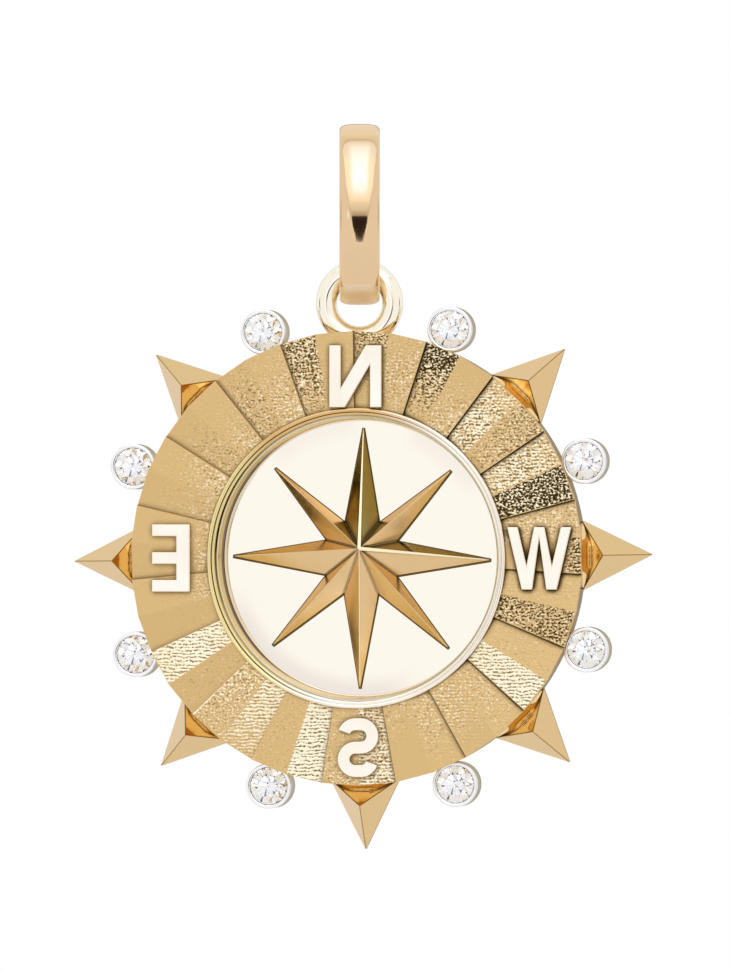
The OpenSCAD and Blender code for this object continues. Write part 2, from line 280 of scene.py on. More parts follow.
@dataclass(frozen=True)
class GrainedGold(Finish):
    """14 carat yellow gold, each pleat worked with a matting punch.

    The eye sees a soft glow broken up by tiny worm-like ridges. Their tops are
    pale from wear and painted glints, the dents between them hold dark oxide and
    painted shade, and the foot of each step gets a painted shadow.
    """

    name: str
    metal: str              # colour of the open metal
    oxide_and_shadow: str              # what stays in the dents, and the colour of their painted shade and of the painted step shadow
    bright: str             # pale tops of the grain: wear, painted glints and painted highlight lines
    smooth_roughness: float = 0.48
    grain_roughness: float = 0.54
    row_pitch: float = 0.155    # mm from ridge to ridge
    row_bend: float = 5.0       # radians by which the rows wander
    bend_pitch: float = 0.36    # mm
    tooth_pitch: float = 0.080  # mm, size of the tooth that breaks the rows up
    tooth_height: float = 1.1   # of the tooth, where the rows have a height of 1
    stretch: float = 1.3        # how much longer the grain is along the rows
    grain_depth: float = 0.012  # mm
    flat_depth: float = 0.1     # share of that depth where the metal is smooth
    oxide_and_shade_level: Pair = (-0.85, 0.30)    # grain height below which dents are dark, oxide and painted shade, few to most dents
    oxide_and_shade_fade: Pair = (-0.1, 0.4)       # depth below that level over which it sets in
    oxide_and_shade_gain: float = 1.3              # how fast it fills up as the dents grow
    wear_and_glint_level: Pair = (0.75, -0.6)     # grain height above which the tops turn pale, wear and painted glints, few to most
    wear_and_glint_fade: float = 0.55             # height above that level over which it sets in
    wear_and_glint_gain: float = 2.0              # how fast it brightens as the tops grow
    shade_reach: float = 0.26  # mm from a step over which its painted shadow reaches
    shut_at: float = 0.6        # share of open sky at which a step's shadow is full
    open_at: float = 0.94       # share of open sky from which none of it is left

    def dress(self, tree: bpy.types.NodeTree, mm: Socket) -> dict[str, Any]:
        """Adds the grain, its oxide and painted shade in the dents, its pale tops and the
        painted step shadows, by the marks of the ring's mesh.

        Args:
            tree: the material's node tree.
            mm: the place on the object, in millimetres.

        Returns:
            The shader's inputs by name.
        """
        dents, tops, coarse, rows, steps = [
            add_node(tree, "Attribute", out="Fac", attribute_name=mark) for mark in RING_MARKS]
        grain = self.add_grain(tree, mm, rows)
        brink = add_node(tree, "MapRange", {"Value": dents, "To Min": self.oxide_and_shade_level[0],
                                            "To Max": self.oxide_and_shade_level[1]})
        below = add_node(tree, "Math", {0: brink, 1: grain}, operation="SUBTRACT")
        low = add_node(tree, "MapRange", {"Value": below, "From Min": self.oxide_and_shade_fade[0],
                                          "From Max": self.oxide_and_shade_fade[1]})
        held = add_node(tree, "Math", {0: dents, 1: self.oxide_and_shade_gain}, operation="MULTIPLY",
                        use_clamp=True)
        oxide_and_shade = add_node(tree, "Math", {0: low, 1: held}, operation="MULTIPLY")
        # Painted shadow at the foot of each step, as dark as its steps mark
        corner = add_node(tree, "AmbientOcclusion", {"Distance": self.shade_reach * MM},
                          "AO", samples=8)
        shut = add_node(tree, "MapRange", {"Value": corner, "From Min": self.open_at,
                                           "From Max": self.shut_at, "To Max": steps})
        dark = add_node(tree, "Math", {0: oxide_and_shade, 1: shut}, operation="MAXIMUM")
        # Pale tops: wear, painted glints, and painted highlight lines along some high borders
        brim = add_node(tree, "MapRange", {"Value": tops, "To Min": self.wear_and_glint_level[0],
                                           "To Max": self.wear_and_glint_level[1]})
        above = add_node(tree, "Math", {0: grain, 1: brim}, operation="SUBTRACT")
        high = add_node(tree, "MapRange", {"Value": above, "From Max": self.wear_and_glint_fade})
        most = add_node(tree, "Math", {0: tops, 1: self.wear_and_glint_gain}, operation="MULTIPLY",
                        use_clamp=True)
        wear_and_glint = add_node(tree, "Math", {0: high, 1: most}, operation="MULTIPLY")
        tone: Any = linear(self.metal)
        for share, other in ((wear_and_glint, self.bright), (dark, self.oxide_and_shadow)):
            tone = add_node(tree, "Mix", {0: share, 6: tone, 7: linear(other)}, 2,
                            data_type="RGBA")
        rough = add_node(tree, "MapRange", {"Value": coarse, "To Min": self.smooth_roughness,
                                            "To Max": self.grain_roughness})
        strength = add_node(tree, "MapRange", {"Value": coarse, "To Min": self.flat_depth})
        bump = add_node(tree, "Bump", {"Height": grain, "Strength": strength,
                                       "Distance": self.grain_depth * MM})
        return {"Metallic": 1.0, "Base Color": tone, "Roughness": rough, "Normal": bump}

    def add_grain(self, tree: bpy.types.NodeTree, mm: Socket, rows: Socket) -> Socket:
        """Adds level, wavy rows of worm-like ridges.

        Args:
            tree: the material's node tree.
            mm: the place on the object, in millimetres.
            rows: 0 for a tooth without order to 1 for plain wavy rows.

        Returns:
            The grain's height, about -1 in a dent to 1 on a ridge.
        """
        level = add_node(tree, "VectorMath", {0: mm, 1: (1 / self.stretch, 1, 1)},
                         operation="MULTIPLY")
        height = add_node(tree, "SeparateXYZ", {0: mm}, "Z")
        bend, tooth = [add_node(tree, "TexNoise", {"Vector": level, "Scale": 1 / pitch,
                                                   "Detail": 1.0})
                       for pitch in (self.bend_pitch, self.tooth_pitch)]
        steady = add_node(tree, "Math", {0: height, 1: math.tau / self.row_pitch},
                          operation="MULTIPLY")
        phase = add_node(tree, "Math", {0: bend, 1: 2 * self.row_bend, 2: steady},
                         operation="MULTIPLY_ADD")
        wave = add_node(tree, "Math", {0: phase}, operation="SINE")
        # The noise mostly lies between a quarter and three quarters
        rough = add_node(tree, "MapRange", {
            "Value": tooth, "From Min": 0.25, "From Max": 0.75, "To Min": -self.tooth_height,
            "To Max": self.tooth_height}, clamp=False)
        return add_node(tree, "Mix", {0: rows, 2: rough, 3: wave})


@dataclass(frozen=True)
class Diamond(Finish):
    """Round brilliant diamond, cut and polished.

    The eye sees clear white with crisp grey facets; its high IOR throws back
    most of the light that enters. A slight wear dulls it in patches.
    """

    name: str = "diamond_brilliant_cut"
    body: str = "#FFFAEC"
    ior: float = 2.42
    wear: float = 0.03          # roughness of the most worn spots
    wear_pitch: float = 0.12    # mm
    wear_at: Pair = (0.55, 0.8)     # noise between which it sets in

    def dress(self, tree: bpy.types.NodeTree, mm: Socket) -> dict[str, Any]:
        """Adds the wear.

        Args:
            tree: the material's node tree.
            mm: the place on the object, in millimetres.

        Returns:
            The shader's inputs by name.
        """
        film = add_node(tree, "TexNoise", {"Vector": mm, "Scale": 1 / self.wear_pitch,
                                           "Detail": 3.0})
        rough = add_node(tree, "MapRange", {"Value": film, "From Min": self.wear_at[0],
                                            "From Max": self.wear_at[1], "To Max": self.wear})
        return {"Base Color": linear(self.body), "IOR": self.ior, "Transmission Weight": 1.0,
                "Roughness": rough}


@dataclass(frozen=True)
class PaleCard(Finish):
    """Matt white card under the object, with the faint cloudiness of its pulp."""

    name: str = "white_card_matt"
    light: str = "#F8F6F3"
    dark: str = "#F2F0EC"
    roughness: float = 0.9
    fleck: float = 6.0      # mm

    def dress(self, tree: bpy.types.NodeTree, mm: Socket) -> dict[str, Any]:
        """Adds the pulp's clouds.

        Args:
            tree: the material's node tree.
            mm: the place on the object, in millimetres.

        Returns:
            The shader's inputs by name.
        """
        cloud = add_node(tree, "TexNoise", {"Vector": mm, "Scale": 1 / self.fleck})
        tone = add_node(tree, "Mix", {0: cloud, 6: linear(self.light), 7: linear(self.dark)},
                        2, data_type="RGBA")
        return {"Base Color": tone, "Roughness": self.roughness}


# Drafts and pieces


@dataclass
class Draft:
    """Points and faces of one piece while it is drawn, in millimetres."""

    points: list[Point] = field(default_factory=list)
    faces: list[tuple[int, ...]] = field(default_factory=list)
    marks: dict[str, list[float]] = field(default_factory=dict)     # a value for each point

    def face(self, corners: Sequence[Point]) -> None:
        """Adds one face.

        Args:
            corners: its corner points, which it shares with no other face.
        """
        start = len(self.points)
        self.points.extend(corners)
        self.faces.append(tuple(range(start, start + len(corners))))

    def grid(self, rows: Sequence[Sequence[Point]], ring: bool = True, loop: bool = True,
             caps: bool = False) -> None:
        """Joins rows of points by four-cornered faces.

        Args:
            rows: rows with the same number of points each.
            ring: whether the last row joins the first one.
            loop: whether each row's last point joins its first one.
            caps: whether the first and the last row each get a face.
        """
        start, count = len(self.points), len(rows[0])
        for row in rows:
            self.points.extend(row)
        for i in range(len(rows) - (0 if ring else 1)):
            for j in range(count - (0 if loop else 1)):
                i2, j2 = (i + 1) % len(rows), (j + 1) % count
                self.faces.append(tuple(start + a * count + b
                                        for a, b in ((i, j), (i2, j), (i2, j2), (i, j2))))
        for first in (start, len(self.points) - count) if caps else ():
            self.faces.append(tuple(range(first, first + count)))

    def lathe(self, profile: Sequence[Flat], centre: Flat = (0.0, 0.0),
              segments: int = 192, loop: bool = True) -> None:
        """Turns a profile round an axis that points to the front.

        Args:
            profile: radius and height of each point in turn.
            centre: where the axis stands on the face plane.
            segments: number of steps round the axis.
            loop: whether the profile's last point joins its first one.
        """
        rows = []
        for k in range(segments):
            turn = math.tau * k / segments
            rows.append([(centre[0] + r * math.cos(turn), centre[1] + r * math.sin(turn), z)
                         for r, z in profile])
        self.grid(rows, loop=loop)

    def prism(self, outline: Sequence[Flat], low: float, high: float) -> None:
        """Adds a solid with straight sides.

        Args:
            outline: the corners of its outline in turn.
            low: height of its underside.
            high: height of its top.
        """
        start, count = len(self.points), len(outline)
        for height in (low, high):
            self.points.extend((x, y, height) for x, y in outline)
        self.faces.append(tuple(start + i for i in reversed(range(count))))
        self.faces.append(tuple(start + count + i for i in range(count)))
        for i in range(count):
            n = (i + 1) % count
            self.faces.append((start + i, start + n, start + count + n, start + count + i))


@dataclass(frozen=True)
class Edge:
    """Rounded edges of a piece: their width in mm, steps and least angle."""

    width: float
    segments: int
    angle: float


class Seat(Enum):
    """Where a piece belongs: its body, its material slot and the CAD node it replaces."""

    BAIL = ("bail", "bail_gold", "bail")
    MEDALLION = ("medallion", "medallion_gold", "medallion")
    DISH = ("medallion", "dish_gold", "star_dish")
    STAGE = ("stage", "", "")


def make_piece(name: str, draft: Draft, place: Callable[[Point], Point],
               finish: Finish, seat: Seat, crease: float = 32.0, edge: Optional[Edge] = None,
               edge_finish: Optional[Finish] = None) -> bpy.types.Object:
    """Makes an object from a draft and lets it ride on its body.

    Args:
        name: the piece's name.
        draft: its points, faces and marks.
        place: takes a point of the draft to the row frame, in millimetres.
        finish: the finish of the whole piece.
        seat: where it belongs.
        crease: angle in degrees above which an edge is shaded sharp.
        edge: rounding of its sharp edges, if it has any.
        edge_finish: finish of the rounded edges, if it is another one.

    Returns:
        The new object, linked to the scene.
    """
    mesh = bpy.data.meshes.new(name)
    mesh.from_pydata([[c * MM for c in place(p)] for p in draft.points], [], draft.faces)
    for mark, values in draft.marks.items():
        mesh.attributes.new(mark, "FLOAT", "POINT").data.foreach_set("value", values)
    work = bmesh.new()
    work.from_mesh(mesh)
    bmesh.ops.remove_doubles(work, verts=work.verts, dist=SAME_SPOT)
    bmesh.ops.dissolve_degenerate(work, edges=work.edges, dist=SAME_SPOT / 10)
    bmesh.ops.recalc_face_normals(work, faces=work.faces)
    work.to_mesh(mesh)
    work.free()
    mesh.shade_smooth()
    mesh.set_sharp_from_angle(angle=math.radians(crease))
    mesh.materials.append(finish.make())
    piece = bpy.data.objects.new(name, mesh)
    bpy.context.scene.collection.objects.link(piece)
    if edge:
        rounding = piece.modifiers.new("rounding", "BEVEL")
        rounding.width = edge.width * MM
        rounding.segments = edge.segments
        rounding.limit_method = "ANGLE"
        rounding.angle_limit = math.radians(edge.angle)
        rounding.harden_normals = True
        if edge_finish:
            mesh.materials.append(edge_finish.make())
            rounding.material = 1
    body, slot, node = seat.value
    if seat is Seat.STAGE:
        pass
    else:
        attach(piece, body)
        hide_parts(node)
    log.info("%s: %d faces, %s", name, len(mesh.polygons), body)
    return piece


def dress_faces(piece: bpy.types.Object, finish: Finish,
                chosen: Callable[[bpy.types.MeshPolygon], bool]) -> None:
    """Gives some faces of a piece a finish of their own.

    Args:
        piece: the piece.
        finish: their finish.
        chosen: tells whether a face gets it.
    """
    piece.data.materials.append(finish.make())
    for face in piece.data.polygons:
        if chosen(face):
            face.material_index = len(piece.data.materials) - 1


# Sizes that several pieces share


@dataclass(frozen=True)
class Layout:
    """Sizes and places that several pieces share, in millimetres."""

    bail_height: float = 7.96
    bail_width: float = 1.76
    bail_thick: float = 0.55
    bail_corner: float = 0.2    # rounding of the band's inner edges
    loop_wire: float = 0.91
    loop_rise: float = 0.07     # of the loop's centre over the underside of the bail
    loop_sink: float = 0.62     # how deep the loop is let into the edge of the disc
    link_gap: float = 0.08
    disc_r: float = 9.9
    disc_t: float = 2.4
    plate_t: float = 0.35
    plate_sunk: float = 0.05    # how deep the pleated plate lies in the disc
    recess_r: float = 6.28
    recess_depth: float = 1.95
    lip_w: float = 0.34
    lip_t: float = 0.3
    lip_seat: float = 0.14      # how far the lip stands in over the bore of the disc
    dish_gap: float = 0.04
    brim: float = 0.03          # bevel of the turned edges
    ring_turn: float = -0.7     # degrees by which rays and cups are turned

    @property
    def face(self) -> float:
        """Height of the middle of the face."""
        return self.disc_t / 2

    @property
    def back(self) -> float:
        """Height of the disc's back."""
        return -self.disc_t / 2

    @property
    def plate_bottom(self) -> float:
        """Height of the underside of the pleated plate."""
        return self.face - self.plate_t

    @property
    def lip_bottom(self) -> float:
        """Height of the underside of the lip."""
        return self.face - self.lip_t

    @property
    def floor(self) -> float:
        """Height of the dish's floor."""
        return self.face - self.recess_depth

    @property
    def loop_hole_r(self) -> float:
        """Radius of the loop's hole, which goes round the bail's band."""
        reach = math.hypot(self.bail_width / 2 - self.bail_corner,
                           self.bail_thick - self.loop_rise - self.bail_corner)
        return reach + self.bail_corner + self.link_gap

    @property
    def loop_r(self) -> float:
        """Radius of the middle line of the loop's wire."""
        return self.loop_hole_r + self.loop_wire / 2

    @property
    def loop_z(self) -> float:
        """Height of the loop's centre in the row frame."""
        return self.loop_rise + self.bail_thick - self.bail_height

    @property
    def disc_z(self) -> float:
        """Height of the disc's centre in the row frame."""
        return self.loop_z - self.loop_r - self.loop_wire / 2 - self.disc_r + self.loop_sink

    def on_face(self, point: Point) -> Point:
        """Takes a point of the face frame to the row frame."""
        x, y, z = point
        return x, -z, y + self.disc_z


# The bail


@dataclass
class Bail:
    """Oval hoop of crowned band that a chain passes through."""

    layout: Layout
    depth: float = 5.2
    edge_thick: float = 0.26
    turn: float = 7.5
    crown_fall: float = 0.8     # powers of the crown's curve, down and across
    crown_square: float = 0.6
    crown_steps: int = 48
    corner_steps: int = 6
    steps: int = 200
    rubbed_foot: Pair = (-3.08, -3.28)  # heights between which the loop rubs it pale
    rubbed_top: Pair = (3.3, 3.5)       # heights between which the chain does
    top_share: float = 0.35             # how pale the chain leaves it
    gold: PolishedGold = PolishedGold(
        "yellow_gold_14k_bail_polished", "#E6C69A", "#DDBB8E", roughness=0.06, haze=0.03,
        wave_depth=0.001, tints=(Tint("pale_tone", "#F8E2BC", "#F0D4A8", 0.4),))

    def section(self) -> list[Flat]:
        """Draws the band's section.

        Returns:
            For each point its depth below the hoop's outside and its place across.
        """
        half, corner = self.layout.bail_width / 2, self.layout.bail_corner
        inside = self.layout.bail_thick - corner
        points = []
        for k in range(self.crown_steps + 1):
            turn = math.pi * k / self.crown_steps
            across = math.copysign(abs(math.cos(turn)) ** self.crown_square, math.cos(turn))
            fall = 1 - max(0.0, math.sin(turn)) ** self.crown_fall
            points.append(((self.layout.bail_thick - self.edge_thick) * fall, half * across))
        return [*points, *arc((inside, corner - half), corner, -90, 0, self.corner_steps),
                *arc((inside, half - corner), corner, 0, 90, self.corner_steps)]

    def build(self) -> None:
        """Carries the section round the oval."""
        section = self.section()
        half_d, half_h = self.depth / 2, self.layout.bail_height / 2
        rows = []
        for k in range(self.steps):
            turn = math.tau * k / self.steps
            out = Vector((math.cos(turn) / half_d, math.sin(turn) / half_h)).normalized()
            rows.append([(across, half_d * math.cos(turn) - inside * out.x,
                          half_h * math.sin(turn) - inside * out.y)
                         for inside, across in section])
        draft = Draft()
        draft.grid(rows)
        draft.marks["pale_tone"] = [
            soft_step(z, *self.rubbed_foot) + self.top_share * soft_step(z, *self.rubbed_top)
            for _, _, z in draft.points]
        make_piece("bail_hoop", draft, self.place, self.gold, Seat.BAIL, crease=50)

    def place(self, point: Point) -> Point:
        """Turns a point of the hoop to its place.

        Args:
            point: the point, from the hoop's middle.

        Returns:
            The point in the row frame.
        """
        turn = math.radians(self.turn)
        x, y, z = point
        middle = self.layout.bail_thick - self.layout.bail_height / 2
        return (x * math.cos(turn) - y * math.sin(turn),
                x * math.sin(turn) + y * math.cos(turn), z + middle)


# The medallion

CAST_GOLD = PolishedGold("yellow_gold_14k_polished", "#DFBE84", "#B07A33")


@dataclass
class FacePart:
    """A sub-assembly of the medallion, drawn in its face frame."""

    layout: Layout
    seat: Seat = Seat.MEDALLION

    def add(self, name: str, draft: Draft, finish: Finish, **options: Any) -> bpy.types.Object:
        """Makes one of its pieces."""
        return make_piece(name, draft, self.layout.on_face, finish, self.seat, **options)


@dataclass
class Loop(FacePart):
    """Round wire loop soldered into the top edge of the disc."""

    wire_steps: int = 40
    segments: int = 128
    # Painted highlight: the loop's gold is painted near white, as bright as its highlight
    gold: PolishedGold = PolishedGold("yellow_gold_14k_painted_pale_highlight", "#FBF3DC", "#B9A668",
                                      roughness=0.08, wave_depth=0.002, shade_reach=0.1)

    def build(self) -> None:
        """Makes the wire ring."""
        layout = self.layout
        wire = arc((layout.loop_r, 0.0), layout.loop_wire / 2, 0, 360, self.wire_steps)
        draft = Draft()
        draft.lathe(wire[:-1], (0.0, layout.loop_z - layout.disc_z), self.segments)
        self.add("loop", draft, self.gold)


@dataclass
class Disc(FacePart):
    """The disc behind the pleats."""

    bevel: float = 0.15
    bevel_in: float = 0.3       # share of the bevel at its middle point, which rounds it
    segments: int = 288
    gold: PolishedGold = CAST_GOLD

    def profile(self) -> list[Flat]:
        """Draws the disc's section.

        Returns:
            Its points, from the bore out over the back to the front.
        """
        layout, bevel = self.layout, self.bevel
        bore, rim, back = layout.recess_r + layout.lip_seat, layout.disc_r, layout.back
        lip_r, front = layout.recess_r + layout.lip_w, layout.plate_bottom + layout.plate_sunk
        return [(bore, layout.lip_bottom), (bore, back + layout.brim),
                (bore + layout.brim, back), (rim - bevel, back),
                (rim - bevel * self.bevel_in, back + bevel * self.bevel_in),
                (rim, back + bevel), (rim, front), (lip_r, front), (lip_r, layout.lip_bottom)]

    def build(self) -> None:
        """Makes the disc."""
        draft = Draft()
        draft.lathe(self.profile(), segments=self.segments)
        self.add("disc", draft, self.gold)


@dataclass
class Lip(FacePart):
    """Two turned beads round the recess, with a dark tone in the groove between them, tarnish
    and painted shade, which is painted pale on the lit right and lower side.
    """

    outer_bead: float = 0.10    # radius
    inner_bead: float = 0.08
    inset: float = 0.005        # of the outer bead from the lip's outside
    crest: float = 0.17
    step: float = 0.07          # from the outer bead down to the inner one
    segments: int = 360
    shaded_at: float = 294.0     # clock angle of the shaded side, where the groove keeps most of its dark tone
    shaded_for: float = 112.0    # degrees to each side of it
    dull_at: float = 0.0        # clock angle where it is dull brown
    dull_for: float = 56.0
    # Painted light: the pale tone tint paints the lit side pale and takes the groove's dark tone
    # off it
    gold: PolishedGold = PolishedGold(
        "yellow_gold_14k_polished_tarnish_and_painted_shade", "#F0DE9E", "#35270E", roughness=0.07,
        wave_depth=0.002, shade_reach=0.16, shut_at=0.56, open_at=0.96,
        tints=(Tint("dull", "#DDB97C", "#84622C"), Tint("pale_tone", "#F7EEDC", "#F7EEDC")))

    def profile(self) -> list[Flat]:
        """Draws the lip's section.

        Returns:
            Its points, from the outer bead in to the side of the recess.
        """
        inside, top = self.layout.recess_r, self.layout.face + self.crest
        outside = inside + self.layout.lip_w - self.inset
        outer = arc((outside - self.outer_bead, top - self.outer_bead), self.outer_bead,
                    0, 180, 12)
        inner = arc((inside + self.inner_bead, top - self.step - self.inner_bead),
                    self.inner_bead, 45, 180, 9)
        return [(outside, self.layout.lip_bottom), *outer, *inner,
                (inside, self.layout.lip_bottom)]

    def build(self) -> None:
        """Makes the lip and marks its painted pale lit side and where it is dull."""
        draft = Draft()
        draft.lathe(self.profile(), segments=self.segments)
        angles = [clock_angle(x, y) for x, y, _ in draft.points]
        # Painted light: pale on the lit side, away from the shaded side
        draft.marks["pale_tone"] = [away(a, self.shaded_at, self.shaded_for) for a in angles]
        draft.marks["dull"] = [1 - away(a, self.dull_at, self.dull_for) for a in angles]
        self.add("lip", draft, self.gold)


@dataclass(frozen=True)
class Texture:
    """How the grain of a facet looks where it is strongest."""

    depth: float        # height of its hammered relief in mm
    pitch: float        # distance between the relief's dents in mm
    dents: float        # how broad and dark its dents are
    tops: float         # how bright its tops are
    coarse: float       # 0 smooth, 1 fully matt
    rows: float         # 0 for a tooth without order, 1 for plain wavy rows


class Grain(Enum):
    """The ways that the pleats are worked, from nearly plain to boldly wavy.

    Their dents and tops also paint some facets darker and some paler, as painted
    shade and highlight for how each facet catches the light.
    """

    MATT = Texture(0.004, 0.16, 0.25, 0.18, 0.45, 0.1)
    STIPPLED = Texture(0.007, 0.18, 0.52, 0.52, 0.85, 0.15)
    SPECKLED = Texture(0.010, 0.20, 0.70, 0.50, 1.0, 0.15)
    # Darker dents than SPECKLED: painted shade for facets that look dark
    DARK_SPECKLED = Texture(0.012, 0.20, 0.98, 0.52, 1.0, 0.15)
    # Paler tops: painted glints for facets that look pale
    FROSTED = Texture(0.010, 0.20, 0.62, 0.72, 0.9, 0.3)
    WAVY = Texture(0.014, 0.26, 0.50, 0.90, 0.9, 0.45)


@dataclass(frozen=True)
class Facet:
    """One facet's grain and how strong it is at the outer end, middle and inner end."""

    grain: Grain
    outer: float
    middle: float
    inner: float

    def strength(self, out: float) -> float:
        """Works out how strong the grain is.

        Args:
            out: share of the way from the facet's inner end to its outer one.

        Returns:
            The strength there.
        """
        if out < 0.5:
            return blend(self.inner, self.middle, out / 0.5)
        return blend(self.middle, self.outer, (out - 0.5) / 0.5)


# Clockwise from the top, two facets to a pleat; each one's grain also sets how dark or pale it
# is painted
FACETS: tuple[Facet, ...] = (
    Facet(Grain.SPECKLED, 1.0, 0.7, 0.3), Facet(Grain.STIPPLED, 0.5, 0.9, 0.5),
    Facet(Grain.DARK_SPECKLED, 1.1, 0.8, 0.4), Facet(Grain.STIPPLED, 0.1, 0.7, 0.9),
    Facet(Grain.FROSTED, 0.7, 1.0, 0.9), Facet(Grain.SPECKLED, 0.9, 0.8, 0.6),
    Facet(Grain.FROSTED, 0.8, 1.0, 0.8), Facet(Grain.DARK_SPECKLED, 1.1, 1.1, 1.0),
    Facet(Grain.STIPPLED, 0.8, 0.8, 0.8), Facet(Grain.DARK_SPECKLED, 0.9, 0.4, 0.2),
    Facet(Grain.MATT, 0.8, 1.0, 1.0), Facet(Grain.DARK_SPECKLED, 0.8, 0.75, 0.8),
    Facet(Grain.MATT, 0.8, 1.0, 1.0), Facet(Grain.WAVY, 1.1, 1.05, 0.9),
    Facet(Grain.STIPPLED, 0.4, 0.7, 0.7), Facet(Grain.FROSTED, 0.2, 0.6, 0.6),
    Facet(Grain.STIPPLED, 0.2, 0.7, 0.7), Facet(Grain.STIPPLED, 0.05, 0.3, 0.8),
    Facet(Grain.FROSTED, 1.0, 0.9, 0.9), Facet(Grain.STIPPLED, 0.9, 0.6, 0.4),
    Facet(Grain.WAVY, 1.1, 1.1, 1.0), Facet(Grain.MATT, 1.0, 1.1, 1.0),
    Facet(Grain.WAVY, 0.5, 0.8, 0.9), Facet(Grain.STIPPLED, 0.7, 0.9, 0.9),
    Facet(Grain.MATT, 0.8, 1.0, 1.0), Facet(Grain.WAVY, 0.9, 1.1, 0.9),
    Facet(Grain.MATT, 0.1, 0.5, 0.9), Facet(Grain.STIPPLED, 0.1, 0.4, 0.8),
    Facet(Grain.STIPPLED, 0.2, 0.3, 0.9), Facet(Grain.STIPPLED, 0.05, 0.2, 0.8),
    Facet(Grain.STIPPLED, 0.1, 0.4, 0.8), Facet(Grain.STIPPLED, 0.1, 0.6, 0.9),
    Facet(Grain.SPECKLED, 0.1, 0.6, 0.7), Facet(Grain.STIPPLED, 0.1, 0.5, 0.9),
    Facet(Grain.SPECKLED, 0.4, 0.8, 0.7), Facet(Grain.STIPPLED, 0.3, 0.8, 0.9),
    Facet(Grain.SPECKLED, 1.1, 1.0, 0.7), Facet(Grain.STIPPLED, 0.3, 0.5, 0.5),
)


